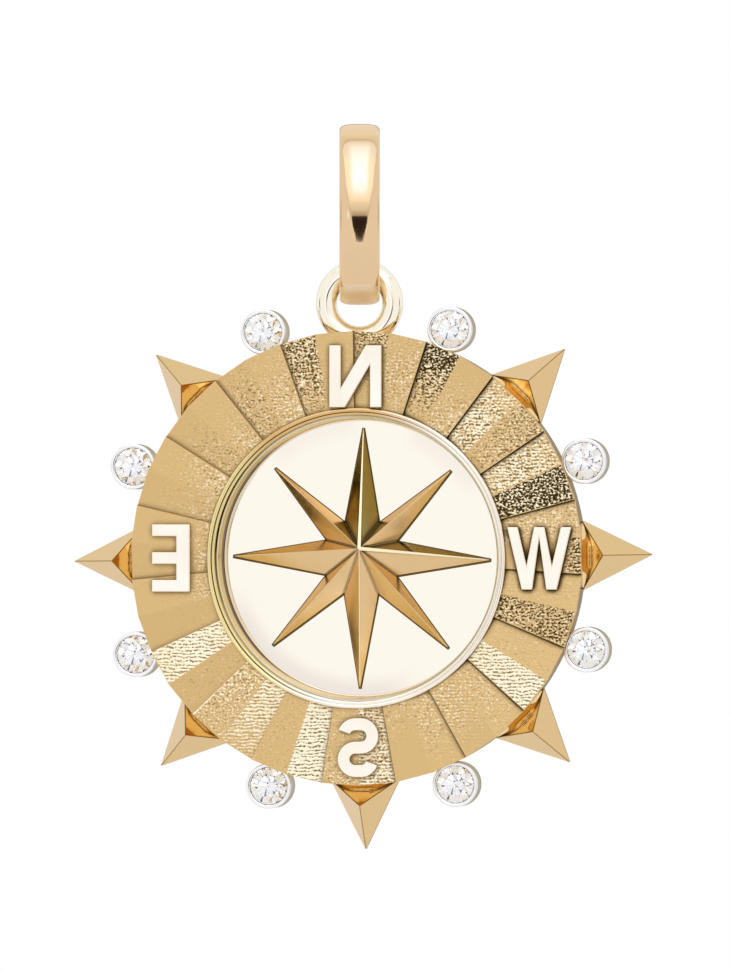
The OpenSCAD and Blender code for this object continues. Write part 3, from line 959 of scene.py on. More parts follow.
@dataclass
class PleatedRing(FacePart):
    """The ring of pleats round the recess, each facet worked in its own grain, with painted
    shadow at the foot of each step and a painted highlight line along some high borders.
    """

    turn: float = -0.8
    high: float = 0.06          # rise of a pleat's high border over the middle of the face
    low: float = 0.1            # fall of its low border
    fold: float = 0.1           # rise of the fold between its two facets
    over: float = 0.05          # how far it stands out over the disc's edge
    inner_at: float = 0.75      # share of the lip's width where it ends, from its inside
    cells_across: int = 36
    cells_out: int = 110
    sectors: tuple[int, ...] = (0, 10, 20, 30, 38)      # first facet of each, and the end
    edge_fade: Pair = (-0.03, 0.06)     # mm from a facet's border over which its grain sets in
    long_dents: float = 1.7     # how much longer the relief's dents are along a pleat's border
    apart: float = 7.31         # sets the relief of one facet apart from the next
    plain_step: float = 0.1     # painted shadow tone below which the high border gets a painted highlight line
    highlight_from: float = 0.97     # share across the facet from which it does
    step_tones: tuple[Pair, ...] = (
        (0.0, 0.6), (20.0, 1.0), (135.0, 1.0), (165.0, 0.6), (205.0, 0.4), (212.0, 0.0),
        (244.0, 0.0), (255.0, 0.5), (300.0, 0.4), (360.0, 0.6))     # clock angle, darkness of the painted step shadow
    gold: GrainedGold = GrainedGold("yellow_gold_14k_punched_matt", "#DCBA7E", "#3F3012",
                                    "#FFF5D4")

    @property
    def facet_angle(self) -> float:
        """Angle of one facet, in degrees."""
        return 360 / len(FACETS)

    @property
    def inner_r(self) -> float:
        """Radius of the ring's inner edge, in the side of the lip."""
        return self.layout.recess_r + self.inner_at * self.layout.lip_w

    @property
    def outer_r(self) -> float:
        """Radius of the corners of the ring's outline."""
        return (self.layout.disc_r + self.over) / math.cos(math.radians(self.facet_angle / 2))

    def slope(self, number: int) -> Vector:
        """Works out how a facet slopes.

        Args:
            number: the facet's number, clockwise from the top.

        Returns:
            Its rise per mm along x and y of the face.
        """
        rises = (-self.low, self.fold) if number % 2 == 0 else (self.fold, self.high)
        ends = [Vector(on_clock(1.0, self.turn + i * self.facet_angle))
                for i in (number, number + 1)]
        cross = ends[0].x * ends[1].y - ends[0].y * ends[1].x
        lift = [rise / self.outer_r for rise in rises]
        return Vector(((lift[0] * ends[1].y - lift[1] * ends[0].y) / cross,
                       (lift[1] * ends[0].x - lift[0] * ends[1].x) / cross))

    def step_tone(self, angle: float) -> float:
        """Works out how dark the painted shadow at the foot of a step is, by its clock angle.

        Args:
            angle: its clock angle.

        Returns:
            Its darkness, from 0 to 1.
        """
        for (low, tone), (high, next_tone) in zip(self.step_tones, self.step_tones[1:]):
            if low <= angle % 360 < high:
                return blend(tone, next_tone, (angle % 360 - low) / (high - low))
        return self.step_tones[-1][1]

    def column(self, number: int, share: float, marks: dict[str, list[float]]) -> list[Point]:
        """Draws one radial line of the ring's section and notes its marks.

        Args:
            number: the facet's number, clockwise from the top.
            share: how far across the facet the line lies, from 0 to 1.
            marks: lists of the ring's marks, which get this line's values.

        Returns:
            The points of the section, all round.
        """
        slope, facet, half = self.slope(number), FACETS[number], self.facet_angle / 2
        look, first = facet.grain.value, self.turn + number * self.facet_angle
        angle, aside = first + share * self.facet_angle, math.radians(2 * half * (share - 0.5))
        outer = self.outer_r * math.cos(math.radians(half)) / math.cos(aside)
        # Painted shadow at this facet's steps, and a painted highlight line on its high border
        # where that shadow is faint
        steps = self.step_tone(first + half)
        bright = steps < self.plain_step and number % 2 == 1 and share > self.highlight_from
        points = []
        for k in range(self.cells_out + 1):
            out = k / self.cells_out
            radius = blend(self.inner_r, outer, out)
            x, y = on_clock(radius, angle)
            side = min(share, 1 - share) * radius * 2 * math.radians(half)
            rim = min(out, 1 - out) * (outer - self.inner_r)
            strength = facet.strength(out) * soft_step(min(side, rim), *self.edge_fade)
            spot = Vector((radius * aside / self.long_dents, radius, self.apart * number))
            rise = (slope.x * x + slope.y * y
                    + look.depth * strength * noise.noise(spot / look.pitch))
            points.append((x, y, self.layout.face + rise))
            values = (look.dents * strength, 1.0 if bright else look.tops * strength,
                      look.coarse * min(1.0, strength), look.rows, steps)
            for mark, value in zip(RING_MARKS, values):
                marks[mark].append(value)
        for radius in (outer, self.inner_r):
            points.append((*on_clock(radius, angle), self.layout.plate_bottom))
            for mark in RING_MARKS:
                marks[mark].append(0.0)
        return points

    def build(self) -> None:
        """Makes the ring in sectors, each a closed mesh of whole pleats."""
        for sector, (start, stop) in enumerate(zip(self.sectors, self.sectors[1:]), 1):
            draft = Draft(marks={mark: [] for mark in RING_MARKS})
            draft.grid([self.column(number, k / self.cells_across, draft.marks)
                        for number in range(start, stop)
                        for k in range(self.cells_across + 1)], ring=False, caps=True)
            self.add(f"pleats_{sector}", draft, self.gold, crease=60)


@dataclass
class Letters(FacePart):
    """The four raised letters of the compass, as the object shows them."""

    rise: float = 0.28
    stroke: float = 0.53
    north_size: Pair = (2.33, 2.73)
    north_slope: float = 1.35   # width of its slope across, in strokes
    east_size: Pair = (1.7, 2.97)
    east_stem: float = 0.62
    west_size: Pair = (2.84, 2.75)
    west_stroke: float = 0.9    # width of its strokes across, in strokes
    west_foot: float = 0.19     # share of its width that its feet are off the middle
    west_notch: float = 1.2     # depth of its middle notch, in strokes across
    south_size: Pair = (1.8, 2.58)
    south_curl: float = 70.0    # degrees that each end curls round its bowl
    bowl_steps: int = 16
    north_at: Flat = (0.0, 7.98)
    east_at: Flat = (-8.18, 0.0)
    west_at: Flat = (8.12, 0.0)
    south_at: Flat = (0.12, -8.31)
    edge: Edge = Edge(0.045, 3, 40)
    # Paler than the cast gold: painted light, so the letters look as bright as their highlights
    gold: PolishedGold = PolishedGold("yellow_gold_14k_soft_polished", "#F6E6C8", "#7A5A30",
                                      roughness=0.12, shade_reach=0.14)

    def north(self) -> list[Flat]:
        """Draws two uprights and a slope that climbs to the right.

        Returns:
            The outline round the letter's middle.
        """
        w, h, s = self.north_size[0] / 2, self.north_size[1] / 2, self.stroke
        slope = self.north_slope * s
        meet = (2 * w - s - slope) / (2 * w - slope)
        return [(-w, -h), (slope - w, -h), (w - s, blend(-h, h, meet)), (w - s, -h),
                (w, -h), (w, h), (w - slope, h), (s - w, blend(h, -h, meet)),
                (s - w, h), (-w, h)]

    def east(self) -> list[Flat]:
        """Draws an upright on the right with three arms to the left.

        Returns:
            The outline round the letter's middle.
        """
        w, h, s = self.east_size[0] / 2, self.east_size[1] / 2, self.stroke
        stem, mid = w - self.east_stem, s / 2
        return [(-w, -h), (w, -h), (w, h), (-w, h), (-w, h - s), (stem, h - s),
                (stem, mid), (-w, mid), (-w, -mid), (stem, -mid), (stem, s - h), (-w, s - h)]

    def west(self) -> list[Flat]:
        """Draws four slanting strokes.

        Returns:
            The outline round the letter's middle.
        """
        h, s = self.west_size[1] / 2, self.west_stroke * self.stroke
        top, foot = self.west_size[0] / 2, self.west_foot * self.west_size[0]
        # The sides of an outer and an inner stroke that meet in the crotch are one gap apart
        # at the top, and past each other by the other gap at the foot
        gap_top, gap_foot = top - s - s / 2, s
        share = gap_top / (gap_top + gap_foot)
        crotch = (blend(top - s, foot - s / 2, share), blend(h, -h, share))
        right = [(s / 2, h), crotch, (top - s, h), (top, h), (foot + s / 2, -h),
                 (foot - s / 2, -h)]
        left = [(-x, y) for x, y in reversed(right)]
        return [*right, (0.0, h - self.west_notch * s), *left]

    def south(self) -> list[Flat]:
        """Draws two bowls joined by a bar, one open to each side.

        Returns:
            The outline round the letter's middle.
        """
        half = self.stroke / 2
        r = (self.south_size[1] - self.stroke) / 4
        reach = self.south_size[0] / 2 - half - r
        bowls = (((-reach, r), 90 + self.south_curl, 90, 1), ((reach, r), 90, -90, 1),
                 ((-reach, -r), 90, 270, -1), ((reach, -r), 270, 270 + self.south_curl, -1))
        outside, inside = [
            [p for centre, first, last, flip in bowls
             for p in arc(centre, r + side * flip * half, first, last, self.bowl_steps)]
            for side in (1, -1)]
        outline = [*outside, *reversed(inside)]
        # Neighbouring bowls share an end point
        return [p for i, p in enumerate(outline)
                if math.dist(p, outline[i - 1]) > SAME_SPOT / MM]

    def build(self) -> None:
        """Makes each letter a piece of its own."""
        shapes = {"letter_north": (self.north(), self.north_at),
                  "letter_east": (self.east(), self.east_at),
                  "letter_west": (self.west(), self.west_at),
                  "letter_south": (self.south(), self.south_at)}
        for name, (outline, centre) in shapes.items():
            draft = Draft()
            draft.prism([(x + centre[0], y + centre[1]) for x, y in outline],
                        self.layout.plate_bottom, self.layout.face + self.rise)
            self.add(name, draft, self.gold, edge=self.edge)


@dataclass
class Rays(FacePart):
    """Seven pointed rays, each a three-sided pyramid soldered to the disc's edge."""

    reach: float = 2.96
    peak_out: float = 0.98
    foot_in: float = 0.16
    width: float = 3.1
    height: float = 2.25
    plate: float = 0.3
    edge: Edge = Edge(0.045, 2, 28)
    inner_facet: Pair = (0.5, 0.3)  # least share of its normal to the middle, to the front, of a face that is painted paler
    solder_in: float = 0.1      # how far the solder goes into the disc's edge
    solder_out: float = 0.4
    solder_z: float = -0.05     # height of its outer border
    solder_deep: float = 0.2    # height of its underside over the back
    solder_short: float = 0.06  # how far its ends stay inside the ray's sides
    solder_climb: float = 2.3   # rise at 1 mm from its outer border, by the square
    solder_level: float = 0.35  # half of the stretch where it doesn't fall to the ends
    solder_fall: float = 1.1    # fall at 1 mm beyond that stretch, by the square
    streak: float = 0.022       # height of its streaks
    streak_size: Pair = (0.13, 0.5)     # mm along the disc's edge and out from it
    solder_cells: tuple[int, int] = (40, 12)
    gold: PolishedGold = CAST_GOLD
    # Painted reflection: the rounded ridges are painted dark, for the thin dark line along them
    ridge: PolishedGold = PolishedGold("yellow_gold_14k_ridge_painted_dark_line", "#A08144", "#5A4014",
                                       roughness=0.15)
    # Painted light: the solder and the inner facets are painted paler than the cast gold
    bright: PolishedGold = PolishedGold("yellow_gold_14k_solder_painted_light", "#F3D190", "#5E3A10",
                                        roughness=0.12, shade_reach=0.2, shut_at=0.3,
                                        open_at=0.8)

    def set_at(self, angle: float, out: float, side: float, z: float) -> Point:
        """Sets a point of a ray along its clock angle.

        Args:
            angle: the ray's clock angle.
            out: how far the point lies out from the disc's edge.
            side: how far it lies to the left, seen from the middle outwards.
            z: its height.

        Returns:
            The point in the face frame.
        """
        turn, radius = math.radians(90 - angle), self.layout.disc_r + out
        return (radius * math.cos(turn) - side * math.sin(turn),
                radius * math.sin(turn) + side * math.cos(turn), z)

    def draw(self, angle: float) -> Draft:
        """Draws a ray.

        Args:
            angle: its clock angle.

        Returns:
            The draft.
        """
        back = self.layout.back
        flat = ((self.reach, 0.0), (-self.foot_in, self.width / 2),
                (-self.foot_in, -self.width / 2))
        foot, brim = [[self.set_at(angle, out, side, z) for out, side in flat]
                      for z in (back, back + self.plate)]
        peak = self.set_at(angle, self.peak_out, 0.0, back + self.height)
        draft = Draft()
        draft.face(foot[::-1])
        for i in range(3):
            n = (i + 1) % 3
            draft.face([foot[i], foot[n], brim[n], brim[i]])
            draft.face([brim[i], brim[n], peak])
        return draft

    def draw_solder(self, angle: float) -> Draft:
        """Draws the fillet of solder between the disc's edge and a ray's inner facet.

        Args:
            angle: the ray's clock angle.

        Returns:
            The draft.
        """
        deep = self.layout.back + self.solder_deep
        cells_along, cells_out = self.solder_cells
        rows = []
        for i in range(cells_along + 1):
            row = []
            for j in range(cells_out + 1):
                out = blend(-self.solder_in, self.solder_out, j / cells_out)
                narrow = (self.reach - out) / (self.reach + self.foot_in)
                half = self.width / 2 * narrow - self.solder_short
                side = blend(-half, half, i / cells_along)
                fall = self.solder_fall * max(0.0, abs(side) - self.solder_level) ** 2
                streak = noise.noise(Vector((side / self.streak_size[0],
                                             out / self.streak_size[1], angle)))
                rise = self.solder_climb * (self.solder_out - out) ** 2 + self.streak * streak
                row.append(self.set_at(angle, out, side, self.solder_z + rise - fall))
            rows.append([*row, self.set_at(angle, self.solder_out, side, deep),
                         self.set_at(angle, -self.solder_in, side, deep)])
        draft = Draft()
        draft.grid(rows, ring=False, caps=True)
        return draft

    def build(self) -> None:
        """Makes the seven rays and their solder."""
        inward, forward = self.inner_facet
        for i in range(1, 8):
            angle = EIGHTH * i + self.layout.ring_turn
            x, y = on_clock(1.0, angle)
            ray = self.add(f"ray_{i}", self.draw(angle), self.gold, crease=12, edge=self.edge,
                           edge_finish=self.ridge)
            # Painted light: faces turned inwards and to the front get the paler finish
            dress_faces(ray, self.bright, lambda facet: facet.normal.y < -forward
                        and facet.normal.dot((x, 0.0, y)) < -inward)
            self.add(f"solder_{i}", self.draw_solder(angle), self.bright)


@dataclass
class Cups(FacePart):
    """Eight round cups soldered to the disc's edge, each burnished over its stone."""

    stone_d: float = 1.66
    stone_gap: float = 0.03
    wall: float = 0.14
    sink: float = 0.08          # how deep the cup is let into the disc's edge
    height: float = 1.4
    hole: float = 0.7
    bevel: float = 0.04
    rim_round: float = 0.05
    lip: float = 0.08           # depth of the burnished rim over the stone's edge
    seat_land: float = 0.06     # straight stretch below it
    seat_depth: float = 0.62    # from the rim's underside down to the hole
    burnish: tuple[Flat, ...] = (
        (0.02, 0.0), (-0.015, -0.012), (-0.03, -0.04))      # out from the seat, up from the top
    segments: int = 72
    gold: PolishedGold = PolishedGold("rhodium_plate_on_gold", "#F2EFE8", "#C4C0B6",
                                      roughness=0.09, wave_depth=0.002, shade_reach=0.12)

    def build(self) -> None:
        """Makes the eight cups."""
        back, top = self.layout.back, self.layout.back + self.height
        seat, under = self.stone_d / 2 + self.stone_gap, top - self.lip
        outer = seat + self.wall
        profile = [(self.hole / 2, back), (outer - self.bevel, back), (outer, back + self.bevel),
                   *arc((outer - self.rim_round, top - self.rim_round), self.rim_round,
                        0, 90, 6),
                   *[(seat + out, top + up) for out, up in self.burnish],
                   (seat, under), (seat, under - self.seat_land),
                   (self.hole / 2, under - self.seat_depth)]
        for i in range(8):
            centre = on_clock(self.layout.disc_r + outer - self.sink,
                              EIGHTH * (i + 0.5) + self.layout.ring_turn)
            draft = Draft()
            draft.lathe(profile, centre, self.segments)
            self.add(f"cup_{i + 1}", draft, self.gold)


@dataclass
class Dish(FacePart):
    """Polished dish in the recess."""

    seat: Seat = Seat.DISH
    wall: float = 0.2
    slope: float = 0.05         # how much narrower the wall is at its foot
    cove: float = 0.08
    wall_rings: tuple[float, ...] = (1.0, 0.8, 0.7, 0.6, 0.5, 0.3)  # heights over the floor
    floor_rings: tuple[float, ...] = (0.04, 0.1, 0.3, 0.5, 0.7, 0.9, 1.1)   # from the cove in
    segments: int = 288
    # Painted reflections: grey patches on the floor's outer zone
    painted_reflection_r: Pair = (5.0, 5.9)  # radii between which the painted grey reflections set in
    painted_reflections: tuple[Triple, ...] = (
        (206.0, 55.0, 0.7), (40.0, 22.0, 0.35), (338.0, 24.0, 0.3))  # clock angle, reach, share
    dark_band_at: float = 268.0      # clock angle of the darker band along the foot of the wall
    dark_band_for: float = 66.0
    dark_band_foot: Pair = (0.005, 0.05)     # heights over the floor between which it begins
    dark_band_top: Pair = (0.8, 0.5)         # and between which it ends
    pale_tone_up: Pair = (0.06, 0.01)       # heights between which the floor's tone sets in
    wall_up: Pair = (0.02, 0.1)         # and the wall's
    slack: float = 0.01         # by which a point of the inner side may pass its radius
    # Paler than the cast gold: painted light, so the mirror looks as bright as its highlight;
    # the pale tone tint keeps the painted corner shade off the floor
    gold: PolishedGold = PolishedGold(
        "yellow_gold_14k_mirror_polished", "#F0DFAC", "#33280C", roughness=0.035, haze=0.03,
        wave_depth=0.002, wave_pitch=3.0, hairline_depth=0.0002, shade_reach=0.8,
        shut_at=0.45, open_at=0.7,
        tints=(Tint("pale_tone", "#F0DDBC", "#F0DDBC"), Tint("painted_reflection", "#DCC8AA", "#DCC8AA"),
               Tint("wall", "#F2E0A6", "#33280C", 0.3), Tint("dark_band", "#40320F", "#33280C")))

    @property
    def outer_r(self) -> float:
        """Radius of the dish's outside."""
        return self.layout.recess_r + self.layout.lip_seat - self.layout.dish_gap

    def profile(self) -> list[Flat]:
        """Draws the dish's section.

        Returns:
            Its points, from the middle of its back to the middle of its floor.
        """
        layout, cove, brim = self.layout, self.cove, self.layout.brim
        outer, inner = self.outer_r, self.outer_r - self.wall
        back, floor, top = layout.back, layout.floor, layout.lip_bottom - layout.dish_gap
        foot, rise = inner - self.slope, top - brim - layout.floor - cove
        # The flat rings of the floor keep the cove's shading off its middle
        return [(0.0, back), (outer - brim, back), (outer, back + brim), (outer, top - brim),
                (outer - brim, top), (inner + brim, top), (inner, top - brim),
                *[(blend(foot, inner, (up - cove) / rise), floor + up)
                  for up in self.wall_rings],
                *arc((foot - cove, floor + cove), cove, 0, -90, 8),
                *[(foot - cove - inside, floor) for inside in self.floor_rings],
                (0.0, floor)]

    def painted_reflection(self, radius: float, angle: float) -> float:
        """Returns how much painted grey reflection lies on the floor at a radius and clock
        angle, from 0 to 1.
        """
        return soft_step(radius, *self.painted_reflection_r) * max(
            share * (1 - away(angle, middle, reach)) for middle, reach, share in self.painted_reflections)

    def build(self) -> None:
        """Makes the dish and marks its floor, wall, painted reflections and the darker band at
        the wall's foot.
        """
        draft = Draft()
        draft.lathe(self.profile(), segments=self.segments, loop=False)
        draft.marks = {mark: [] for mark in ("pale_tone", "painted_reflection", "wall", "dark_band")}
        for x, y, z in draft.points:
            radius, angle, up = math.hypot(x, y), clock_angle(x, y), z - self.layout.floor
            inside = float(radius < self.outer_r - self.wall + self.slack)
            dark_band = (soft_step(up, *self.dark_band_foot) * soft_step(up, *self.dark_band_top)
                    * (1 - away(angle, self.dark_band_at, self.dark_band_for)))
            draft.marks["pale_tone"].append(inside * soft_step(up, *self.pale_tone_up))
            draft.marks["painted_reflection"].append(self.painted_reflection(radius, angle))
            draft.marks["wall"].append(inside * soft_step(up, *self.wall_up))
            draft.marks["dark_band"].append(inside * dark_band)
        self.add("dish", draft, self.gold)


@dataclass
class Star(FacePart):
    """Ridged eight-armed star on the floor of the dish."""

    seat: Seat = Seat.DISH
    main_r: float = 5.7
    less_r: float = 5.5
    notch_r: float = 1.74
    notch_turn: float = 26.0    # degrees from a main arm to the notch beside it
    turn: float = 0.8
    tip_w: float = 0.06
    height: float = 0.95
    peak_up: float = 0.42       # how far the peak stands above the middle of the face
    foot: float = 0.06
    sunk: float = 0.05          # how deep it goes into the floor
    crests: tuple[tuple[int, float, float], ...] = (
        (0, 0.14, 0.0), (2, 0.16, 5.0), (4, 0.04, 0.0))     # arm, width, lean in degrees
    crest_end: float = 0.96     # share of the way to the tip
    crest_tip: float = 0.03     # width there
    crest_deep: float = 0.08
    seam_thin: float = 0.035
    seam_thick: float = 0.08
    seam_rise: float = 0.02     # over the floor, and as deep below it
    shade: Flat = (0.35, -0.94)     # side of the star whose seam is thickest, as painted shadow
    top_arm: Triple = (0.9, 1.2, 0.3)    # most aside, least up and least slope of its facets
    right_arm: Triple = (2.2, 0.2, 0.6)  # least aside, least and most up of its upper facet
    edge: Edge = Edge(0.04, 2, 9)
    gold: PolishedGold = PolishedGold(
        "yellow_gold_14k_star_polished", "#E4C18C", "#3E3214", roughness=0.17, wave_depth=0.003,
        wave_pitch=0.7, shade_reach=0.13, shut_at=0.76, open_at=0.97)
    # Painted shade: facets that look dark get this darker finish
    shaded_facets: PolishedGold = PolishedGold(
        "yellow_gold_14k_star_painted_shade", "#A08E58", "#2E2812", roughness=0.12,
        wave_depth=0.008, wave_pitch=0.5, shade_reach=0.35, shut_at=0.6, open_at=1.0)
    # Painted highlight: pale strips along some ridges
    crest: PolishedGold = PolishedGold("yellow_gold_14k_crest_painted_highlight", "#FBEAC0", "#C9A862",
                                       roughness=0.12, wave_depth=0.002)
    # Tarnish and painted shadow: the seam is thickest on the side away from the light
    seam: PolishedGold = PolishedGold("yellow_gold_14k_seam_tarnish_and_painted_shadow", "#63522A", "#2A200C",
                                      roughness=0.3)

    @property
    def peak(self) -> Vector:
        """The star's highest point."""
        return Vector((0.0, self.peak_up, self.layout.floor + self.height))

    def arm_point(self, radius: float, angle: float, aside: float = 0.0) -> Flat:
        """Finds a point by the star's own clock angle.

        Args:
            radius: its distance from the middle along that angle.
            angle: the angle, from the middle of the top arm.
            aside: how far it is then set aside at right angles, clockwise.

        Returns:
            The flat point.
        """
        x, y = on_clock(radius, self.turn + angle)
        dx, dy = on_clock(aside, self.turn + angle + 90)
        return x + dx, y + dy

    def outline(self) -> list[Flat]:
        """Draws the star's outline.

        Returns:
            Its corners, clockwise from the top arm.
        """
        corners = []
        for i in range(8):
            reach = self.less_r if i % 2 else self.main_r
            notch = EIGHTH - self.notch_turn if i % 2 else self.notch_turn
            corners += [self.arm_point(reach, EIGHTH * i, -self.tip_w / 2),
                        self.arm_point(reach, EIGHTH * i, self.tip_w / 2),
                        self.arm_point(self.notch_r, EIGHTH * i + notch)]
        return corners

    def draw(self) -> Draft:
        """Draws the star: eight arms that fall from the peak to their blunt tips.

        Returns:
            The draft.
        """
        low, brim = self.layout.floor - self.sunk, self.layout.floor + self.foot
        outline, peak = self.outline(), tuple(self.peak)
        draft = Draft()
        draft.face([(x, y, low) for x, y in reversed(outline)])
        for i, a in enumerate(outline):
            b = outline[(i + 1) % len(outline)]
            draft.face([(*a, low), (*b, low), (*b, brim), (*a, brim)])
            draft.face([(*a, brim), (*b, brim), peak])
        return draft

    def draw_crest(self, arm: int, width: float, lean: float) -> Draft:
        """Draws the narrow flat along the ridge of an arm, painted pale as a highlight.

        Args:
            arm: the arm's number, clockwise from the top.
            width: its width at the peak.
            lean: how far it leans over the ridge, in degrees.

        Returns:
            The draft.
        """
        peak = self.peak
        tip = Vector((*self.arm_point(self.main_r, EIGHTH * arm),
                      self.layout.floor + self.foot))
        aside = Vector((peak.y - tip.y, tip.x - peak.x, 0.0)).normalized()
        aside.z = -math.tan(math.radians(lean))
        deep = Vector((0.0, 0.0, self.crest_deep))
        rows = []
        for share, wide in ((0.0, width), (self.crest_end, self.crest_tip)):
            middle = peak.lerp(tip, share)
            left, right = middle + aside * wide / 2, middle - aside * wide / 2
            rows.append([tuple(p) for p in (left, right, right - deep, left - deep)])
        draft = Draft()
        draft.grid(rows, ring=False, caps=True)
        return draft

    def draw_seam(self) -> Draft:
        """Draws the dark line round the star's foot: tarnish, widened into painted shadow on the
        shaded side.

        Returns:
            The draft.
        """
        outline = [Vector(p) for p in self.outline()]
        sides = []
        for i, a in enumerate(outline):
            along = (outline[(i + 1) % len(outline)] - a).normalized()
            out = Vector((-along.y, along.x))
            wide = blend(self.seam_thin, self.seam_thick,
                         max(0.0, out.dot(Vector(self.shade))))
            sides.append((a + out * wide, along))
        low, high = [self.layout.floor + rise for rise in (-self.seam_rise, self.seam_rise)]
        rows = []
        for i, (spot, along) in enumerate(sides):
            before, way = sides[i - 1]
            meet = before + way * ((spot - before).cross(along) / way.cross(along))
            rows.append([(*outline[i], high), (*meet, high), (*meet, low), (*outline[i], low)])
        draft = Draft()
        draft.grid(rows)
        return draft

    def is_shaded_facets(self, facet: bpy.types.MeshPolygon) -> bool:
        """Tells which facets are painted dark as shade: the top arm's sides and the right arm's
        upper one.

        Args:
            facet: a face of the star.

        Returns:
            Whether it is one of them.
        """
        aside, up = facet.center.x / MM, facet.center.z / MM - self.layout.disc_z
        most_aside, least_up, least_slope = self.top_arm
        least_aside, low, high = self.right_arm
        on_top_arm = abs(aside) < most_aside and up > least_up
        return (on_top_arm and abs(facet.normal.x) > least_slope
                or aside > least_aside and low < up < high)

    def build(self) -> None:
        """Makes the star with its crests and seam."""
        star = self.add("star", self.draw(), self.gold, crease=12, edge=self.edge)
        dress_faces(star, self.shaded_facets, self.is_shaded_facets)
        for arm, width, lean in self.crests:
            self.add(f"star_crest_{arm}", self.draw_crest(arm, width, lean), self.crest)
        self.add("star_seam", self.draw_seam(), self.seam)


@dataclass
class Medallion:
    """The disc with all that is cast on or soldered to it, and its dish."""

    layout: Layout

    def build(self) -> None:
        """Builds the medallion's sub-assemblies."""
        for part in (Disc, Lip, PleatedRing, Letters, Rays, Loop, Cups, Dish, Star):
            part(self.layout).build()


@dataclass
class Stones:
    """The eight round brilliants, whose CAD solids are kept."""

    diamond: Diamond = Diamond()

    def dress(self) -> None:
        """Gives the stones their material."""
        material = self.diamond.make()
        for i in range(1, 9):
            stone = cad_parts[f"stone_{i}"]
            for place in stone.material_slots:
                place.material = material
            log.info("%s: cut diamond, medallion", stone.name)


# The studio


@dataclass(frozen=True)
class Station:
    """Where a panel's edges lie at one pitch, and its light there.

    Pitch is measured from the camera up over the object, and side to the right of
    the camera's upright plane, both in degrees.
    """

    pitch: float
    left: float
    right: float
    light: Triple


def even(pitch: float, half: float, *light: float) -> Station:
    """Returns a station that reaches as far to the left as to the right."""
    return Station(pitch, -half, half, light)


@dataclass(frozen=True)
class Panel:
    """A panel of light or shade in the tent round the object."""

    softness: float     # degrees over which its edges fade
    stations: tuple[Station, ...]


BLACK_CARD = (0.12, 0.1, 0.08)

# Each panel lies over those before it
PANELS: tuple[Panel, ...] = (
    # Warm top of the tent
    Panel(8.0, (Station(88, -70, 25, (0.98, 0.99, 0.95)),
                Station(156, -70, 25, (0.97, 0.97, 0.98)))),
    # Grey edge of the overhead softbox
    Panel(3.0, (even(-1, 8, 0.78, 0.76, 0.72), even(4, 11, 0.8, 0.78, 0.74),
                even(14, 18, 0.8, 0.78, 0.74), even(24, 24, 0.9, 0.9, 0.9),
                even(60, 40, 0.9, 0.9, 0.9), even(74, 46, 0.7, 0.68, 0.66),
                even(89, 52, 0.78, 0.76, 0.72))),
    # Overhead softbox, which narrows to a V in front
    Panel(9.0, (even(-1.5, 5, 0.35, 0.28, 0.2), even(3.7, 7.5, 0.9, 0.9, 0.9),
                even(9, 12, 1.05, 1.07, 1.1), even(14, 14, 1.3, 1.3, 1.35),
                even(19, 17, 1.4, 1.4, 1.5), even(30, 24, 1.45, 1.45, 1.6),
                even(50, 30, 1.4, 1.45, 1.6), even(68, 40, 1.15, 1.25, 1.5),
                even(84, 46, 1.1, 1.2, 1.4))),
    # Its bright middle
    Panel(12.0, (even(14, 2, 1.4, 1.45, 1.7), even(22, 5, 1.5, 1.8, 2.6),
                 even(32, 6, 1.6, 1.9, 3.1), even(44, 6, 1.6, 1.9, 3.0),
                 even(58, 8, 1.5, 1.75, 2.5), even(76, 10, 1.3, 1.45, 1.9))),
    # Small bright panel that the flat face looks into
    Panel(2.0, tuple(Station(pitch, -18.4, -11.6, (1.13, 1.29, 1.68)) for pitch in (-3, 3))),
    # Bright edges of the slit
    Panel(1.2, (even(-25, 0.8, 1.2, 1.2, 1.25), even(-16, 3.6, 1.2, 1.2, 1.25),
                even(-11, 5.8, 1.2, 1.2, 1.25), even(-4, 7.6, 1.1, 1.1, 1.15))),
    # Slit that the camera looks through
    Panel(1.2, (even(-24, 0.4, 0.03, 0.02, 0.015), even(-16, 2.0, 0.03, 0.02, 0.015),
                even(-11, 3.9, 0.03, 0.02, 0.015), even(-6, 5.5, 0.03, 0.02, 0.015),
                even(-1, 6.2, 0.04, 0.03, 0.02))),
    # Black cards at the sides
    *[Panel(4.0, tuple(Station(pitch, left, right, BLACK_CARD) for pitch in (-50, 60)))
      for left, right in ((-100, -78), (78, 100))],
)


